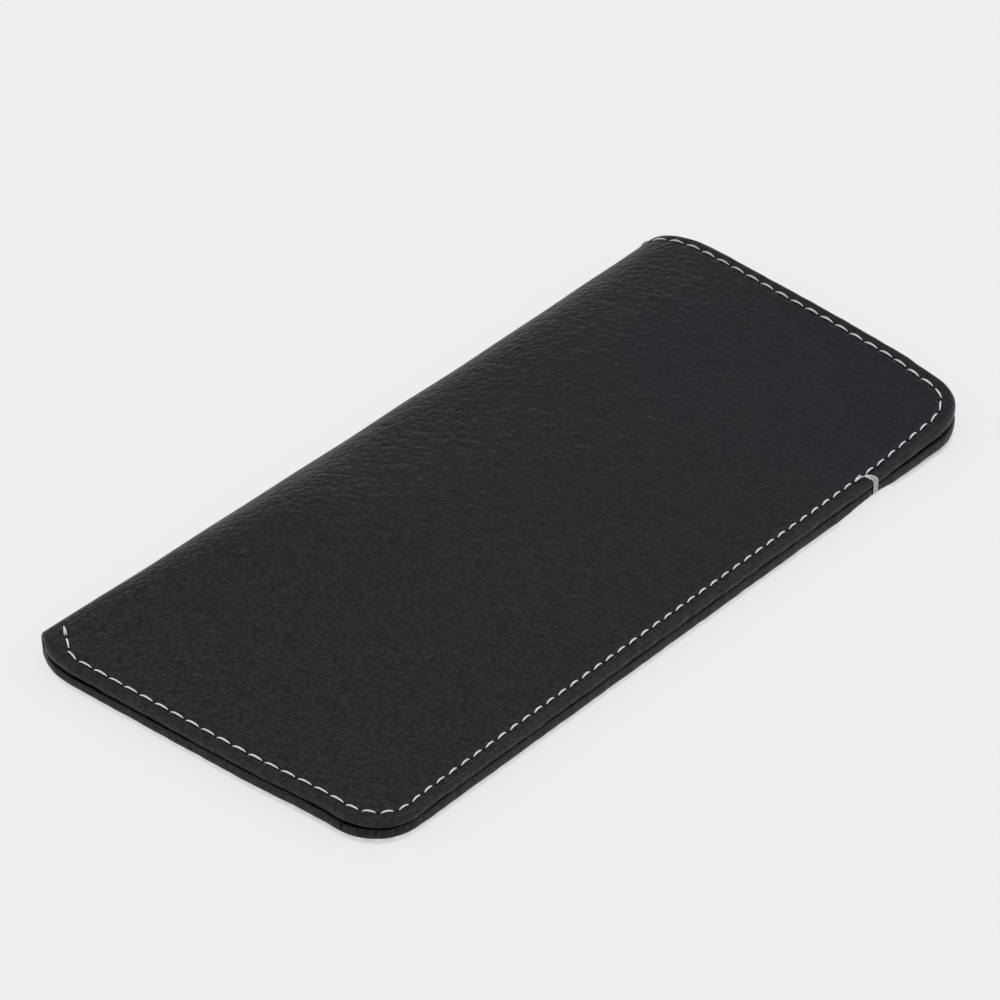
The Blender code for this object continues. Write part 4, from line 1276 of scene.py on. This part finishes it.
def build_rows(scene, sleeve, outline, stations, side, thread):
    """All stitches of one panel."""
    stitch = scene.pouch_stitch
    spot, heading, upward, span, size = sewn_rows(scene, sleeve, outline, stations, side)
    along_seam = heading[:, 0] ** 2
    at_mouth = smooth((spot[:, 0] - sleeve.tack_x) / sleeve.release_run) * (1 - along_seam)
    to_fold = smooth((spot[:, 1] - MOUTH_SHADE_FROM) / MOUTH_SHADE_SPAN)
    short = stitch.short + (stitch.short_seam - stitch.short) * along_seam
    mesh = bpy.data.meshes.new("stitch_points")
    mesh.from_pydata(spot.tolist(), [], [])
    for title, values in (("heading", heading), ("upward", upward)):
        add_numbers(mesh, title, "FLOAT_VECTOR", "vector", values)
    for title, values in (("span", span - short),
                          ("fat", size * (1 + MOUTH_FATTER * at_mouth)),
                          ("tall", np.where(upward[:, 2] < 0, stitch.pressed, 1.0)),
                          # Painted shade on the thread along the mouth, deeper towards the fold
                          ("tone", 1 + (stitch.faded - 1) * at_mouth * (MOUTH_SHADE_LEAST + to_fold))):
        add_numbers(mesh, title, "FLOAT", "value", values)
    pattern = bpy.data.objects.new("stitch", stitch_mesh(stitch))
    bpy.context.scene.collection.objects.link(pattern)
    piece = grow("stitches_top" if side > 0 else "stitches_bottom", mesh, stitch_tree(),
                 {"Stitch": pattern, "Thickness spread": THICKNESS_SPREAD,
                  "Seed": TOP_SEED if side > 0 else BOTTOM_SEED, "Material": thread})
    bpy.data.objects.remove(pattern)
    return piece


TACK_POINTS, TACK_SIDES = 60, 7
# From the row towards the edge and below the leather: down the hole, and where it leaves it
TACK_SUNK, TACK_LEAVING, TACK_OUT = (0.0, 0.0005), (0.0001, 0.0001), 0.0004
TACK_TURN = np.radians(np.arange(0, 91, 10))
LEAN_POWER, LOWER_LEAN = 1.4, 0.7
# The band's width at the hole, as a share, and how fast it opens towards the edge
BAND_AT_HOLE, BAND_OPENING = 0.30, 1.6
PLY_REACH, PLY_RADIUS, STRAND_PHASE = 0.5, 0.58, 0.3
STRAND_TONES = (1.0, 0.70, 0.90, 0.76)


def tack_path(scene, sleeve, aside):
    """One strand of the bar tack, from the hole above round the edge to the hole below."""
    layers, tack, stitch = scene.pouch_layers, scene.pouch_tack, scene.pouch_stitch
    reach = layers.bead + tack.strand
    legs = []
    for side in (1, -1):
        half = sleeve.edge(side * sleeve.half_pattern) / 2
        tall = half + tack.strand
        nip = tack.nip * (tack.upper_nip if side > 0 else 1.0)
        leg = [(stitch.inset - step, depth)
               for step, depth in (TACK_SUNK, TACK_LEAVING, (TACK_OUT, -tack.strand))]
        leg += [(layers.bead - reach * math.sin(angle) ** layers.bead_power,
                 half - tall * math.cos(angle) ** layers.bead_power)
                for angle in TACK_TURN]
        spots = []
        for inset, depth in leg:
            share = min(max(1 - inset / stitch.inset, 0.0), 1.0)
            depth += nip * min(max(1 - depth / half, 0.0), 1.0)
            lean = share ** LEAN_POWER if side > 0 else LOWER_LEAN + (1 - LOWER_LEAN) * share
            band = BAND_AT_HOLE + (1 - BAND_AT_HOLE) * min(BAND_OPENING * share, 1.0)
            x = sleeve.tack_x + tack.lean * lean + aside * tack.width * band
            spots.append(sleeve.place(x, side * (sleeve.half_pattern - inset), depth))
        legs.append(spots)
    path = np.array(legs[0] + legs[1][::-1])
    run = np.concatenate(([0.0], np.cumsum(np.linalg.norm(np.diff(path, axis=0), axis=1))))
    even = np.linspace(0.0, run[-1], TACK_POINTS)
    return np.stack([np.interp(even, run, path[:, axis]) for axis in range(3)], 1), even


def build_tack(scene, sleeve, thread):
    """Strands side by side, each of two plies twisted together."""
    tack = scene.pouch_tack
    points, edges, tones = [], [], []
    for strand in range(tack.strands):
        path, run = tack_path(scene, sleeve, strand / (tack.strands - 1) - 0.5)
        forward = np.gradient(path, axis=0)
        forward /= np.linalg.norm(forward, axis=1)[:, None]
        across = np.cross(forward, (1.0, 0.0, 0.0))
        across /= np.linalg.norm(across, axis=1)[:, None]
        over = np.cross(across, forward)
        for ply in (0, 1):
            turn = 2 * math.pi * (run / tack.twist + ply / 2 + STRAND_PHASE * strand)
            aside = np.cos(turn)[:, None] * across + np.sin(turn)[:, None] * over
            first = len(points)
            points += (path + tack.strand * PLY_REACH * aside).tolist()
            tones += [STRAND_TONES[strand % len(STRAND_TONES)]] * len(path)
            edges += [(first + k, first + k + 1) for k in range(len(path) - 1)]
    mesh = bpy.data.meshes.new("tack_paths")
    mesh.from_pydata(points, edges, [])
    add_numbers(mesh, "tone", "FLOAT", "value", tones)
    return grow("bar_tack", mesh, strand_tree(),
                {"Radius": tack.strand * PLY_RADIUS, "Sides": TACK_SIDES, "Material": thread})


# Operators

def drawn(scene):
    sleeve = Sleeve(scene)
    outline = Outline(sleeve, scene.pouch_stitch)
    return sleeve, outline, Stations(outline, scene.pouch_stitch)


class POUCH_OT_leather(bpy.types.Operator):
    """Make the upper and lower leather, joined under the fold"""
    bl_idname = "pouch.leather"
    bl_label = "Leather"

    def execute(self, context):
        scene = context.scene
        sleeve, outline, stations = drawn(scene)
        material = make_leather(scene.pouch_leather)
        top = build_panel(scene, sleeve, outline, stations, 1, material)
        bottom = build_panel(scene, sleeve, outline, stations, -1, material)
        follow(top, sleeve, 1)
        follow(bottom, sleeve, -1)
        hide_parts("leather_cover", "mouth_lip_leather")
        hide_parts("leather_cover")
        return {"FINISHED"}


class POUCH_OT_lining(bpy.types.Operator):
    """Make the cloth lining of both panels"""
    bl_idname = "pouch.lining"
    bl_label = "Lining"

    def execute(self, context):
        scene = context.scene
        sleeve, outline, stations = drawn(scene)
        material = make_cloth("lining_cloth", scene.pouch_thread.lining)
        shape, inset = sleeve.shape, scene.pouch_layers.lining_inset
        depth = scene.pouch_layers.lining_outer
        for side, other in ((1, "cover_top"), (-1, "cover_bottom")):
            piece = build_lining(scene, sleeve, stations, side, material)
            follow(piece, sleeve, side)
            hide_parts("lining", *(["mouth_lip_lining"] if side > 0 else []))
            across = sleeve.girth(-shape.split, side * (sleeve.half_pattern - inset), depth)
        return {"FINISHED"}


class POUCH_OT_boards(bpy.types.Operator):
    """Give the two stiffening boards their fibre board"""
    bl_idname = "pouch.boards"
    bl_label = "Boards"

    def execute(self, context):
        material = make_board("fibre_board", context.scene.pouch_thread.board)
        for name in ("stiffener_top", "stiffener_bottom"):
            board = frame["nodes"][name]
            board.data.materials.clear()
            board.data.materials.append(material)
        return {"FINISHED"}


class POUCH_OT_stitches(bpy.types.Operator):
    """Sew the seam, the closed end and both lips of the mouth"""
    bl_idname = "pouch.stitches"
    bl_label = "Stitches"

    def execute(self, context):
        scene = context.scene
        sleeve, outline, stations = drawn(scene)
        thread = make_thread("twisted_thread", scene.pouch_thread.thread)
        top = build_rows(scene, sleeve, outline, stations, 1, thread)
        bottom = build_rows(scene, sleeve, outline, stations, -1, thread)
        follow(top, sleeve, 1)
        follow(bottom, sleeve, -1)
        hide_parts("seam_needle_thread", "lip_hem_needle_thread", "lip_hem_bobbin_thread",
                    "mouth_hem_needle_thread")
        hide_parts("seam_bobbin_thread", "mouth_hem_bobbin_thread", "mouth_hem_needle_thread")
        return {"FINISHED"}


class POUCH_OT_tack(bpy.types.Operator):
    """Sew the bar tack round the edge, where the mouth begins"""
    bl_idname = "pouch.tack"
    bl_label = "Bar tack"

    def execute(self, context):
        scene = context.scene
        sleeve = Sleeve(scene)
        thread = make_thread("tack_thread", scene.pouch_thread.tack)
        piece = build_tack(scene, sleeve, thread)
        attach(piece, "sleeve")
        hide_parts("bar_tack_thread")
        return {"FINISHED"}


class POUCH_OT_stage(bpy.types.Operator):
    """Lay the floor and set the lamps, the world and the camera"""
    bl_idname = "pouch.stage"
    bl_label = "Stage"

    NEAR_SAMPLES = 8
    # Direction of the sky's dark part, and the spans towards it and upwards over which it begins
    BACK = (0.75, 0.66, 0.0)
    BACK_SPAN, RISE_SPAN = (0.30, 0.72), (0.15, 0.50)

    def execute(self, context):
        scene = context.scene
        look = scene.pouch_stage
        scene.view_settings.view_transform = "Standard"
        self.lay_floor(scene, look)
        self.light_world(scene, look)
        self.hang_lamp(scene, look)
        self.set_camera(scene, look)
        return {"FINISHED"}

    def lay_floor(self, scene, look):
        half = look.floor_size / 2
        mesh = bpy.data.meshes.new("floor")
        mesh.from_pydata([(-half, -half, 0), (half, -half, 0), (half, half, 0), (-half, half, 0)],
                         [], [(0, 1, 2, 3)])
        material = new_material("floor", tuple(look.floor), 1.0, Specular_IOR_Level=0.0)
        self.fade_shadow(Graph(material.node_tree), look)
        new_object("floor", mesh, material)

    def fade_shadow(self, graph, look):
        """To the camera, part of the floor's colour shines by itself, but not where something is
        close above it. This thins the wide shadow and keeps the dark line under the pouch's edges."""
        output = next(node for node in graph.tree.nodes if node.type == "OUTPUT_MATERIAL")
        shaded = Wire(graph, output.inputs["Surface"].links[0].from_socket)
        seen = graph.add("ShaderNodeLightPath", {}, {}, "Is Camera Ray")
        near = graph.add("ShaderNodeAmbientOcclusion", {"samples": self.NEAR_SAMPLES},
                         {"Distance": look.contact}, "AO")
        even = graph.add("ShaderNodeEmission", {}, {"Color": opaque(look.floor), "Strength": near})
        both = graph.blend(seen * look.evenness, shaded, even)
        graph.tree.links.new(both.socket, output.inputs["Surface"])

    def light_world(self, scene, look):
        """A bright sky all round, but for a dark part behind the pouch that the fold's slope shows."""
        world = bpy.data.worlds.new("studio")
        world.use_nodes = True
        world.node_tree.nodes.clear()
        graph = Graph(world.node_tree)
        path = graph.add("ShaderNodeLightPath", {}, {}, "Is Camera Ray")
        way = graph.add("ShaderNodeTexCoord", {}, {}, "Generated")
        behind = graph.add("ShaderNodeVectorMath", {"operation": "DOT_PRODUCT"},
                           {0: way, 1: self.BACK}, "Value")
        back = graph.remap(graph.split(way).out("Z"), self.RISE_SPAN, look.sky_low, look.sky_back)
        share = graph.remap(behind, self.BACK_SPAN, 0.0, 1.0)
        strength = share * (back - look.sky_front) + look.sky_front
        even = graph.add("ShaderNodeBackground", {},
                         {"Color": opaque((1.0, 1.0, 1.0)), "Strength": strength})
        seen = graph.add("ShaderNodeBackground", {}, {"Color": opaque(look.floor), "Strength": 1.0})
        both = graph.blend(path, even, seen)
        graph.add("ShaderNodeOutputWorld", {}, {"Surface": both})
        scene.world = world

    def hang_lamp(self, scene, look):
        lamp = bpy.data.lights.new("key", "AREA")
        lamp.shape = "SQUARE"
        lamp.size = look.key_size
        lamp.energy = look.key
        holder = bpy.data.objects.new("key", lamp)
        holder.location = look.key_place
        holder.rotation_euler = (-holder.location).to_track_quat("-Z", "Y").to_euler()
        scene.collection.objects.link(holder)

    def set_camera(self, scene, look):
        azimuth, elevation = math.radians(look.azimuth), math.radians(look.elevation)
        back = Vector((math.sin(azimuth) * math.cos(elevation),
                       -math.cos(azimuth) * math.cos(elevation), math.sin(elevation)))
        camera = bpy.data.cameras.new("camera")
        camera.sensor_width = 36.0
        camera.lens = look.focal * camera.sensor_width
        holder = bpy.data.objects.new("camera", camera)
        holder.location = Vector(look.target) + back * look.distance
        holder.rotation_euler = back.to_track_quat("Z", "Y").to_euler()
        scene.collection.objects.link(holder)
        scene.camera = holder


STEPS = (("leather", "Leather"), ("lining", "Lining"), ("boards", "Boards"),
         ("stitches", "Stitches"), ("tack", "Bar tack"), ("stage", "Stage"))


class POUCH_PT_panel(bpy.types.Panel):
    """Every step of the pouch, and what it is made from"""
    bl_idname = "POUCH_PT_panel"
    bl_label = "Glasses Pouch"
    bl_space_type = "VIEW_3D"
    bl_region_type = "UI"
    bl_category = "Pouch"

    def draw(self, context):
        for step, title in STEPS:
            self.layout.operator("pouch." + step, text=title)
        for name in GROUPS:
            group = getattr(context.scene, name)
            box = self.layout.box()
            for key in group.bl_rna.properties.keys():
                if key not in ("rna_type", "name"):
                    box.prop(group, key)


GROUPS = {
    "pouch_shape": SleeveShape,
    "pouch_layers": LayerSizes,
    "pouch_stitch": StitchSizes,
    "pouch_tack": TackSizes,
    "pouch_leather": LeatherLook,
    "pouch_thread": ThreadLook,
    "pouch_stage": StageLook,
}

CLASSES = (POUCH_OT_leather, POUCH_OT_lining, POUCH_OT_boards, POUCH_OT_stitches, POUCH_OT_tack,
           POUCH_OT_stage, POUCH_PT_panel)


def register():
    for name, group in GROUPS.items():
        bpy.utils.register_class(group)
        setattr(bpy.types.Scene, name, PointerProperty(type=group))
    for kind in CLASSES:
        bpy.utils.register_class(kind)


def unregister():
    for kind in reversed(CLASSES):
        bpy.utils.unregister_class(kind)
    for name, group in reversed(GROUPS.items()):
        delattr(bpy.types.Scene, name)
        bpy.utils.unregister_class(group)


def main():
    register()
    for step, title in STEPS:
        getattr(bpy.ops.pouch, step)()


if __name__ == "__main__":
    main()
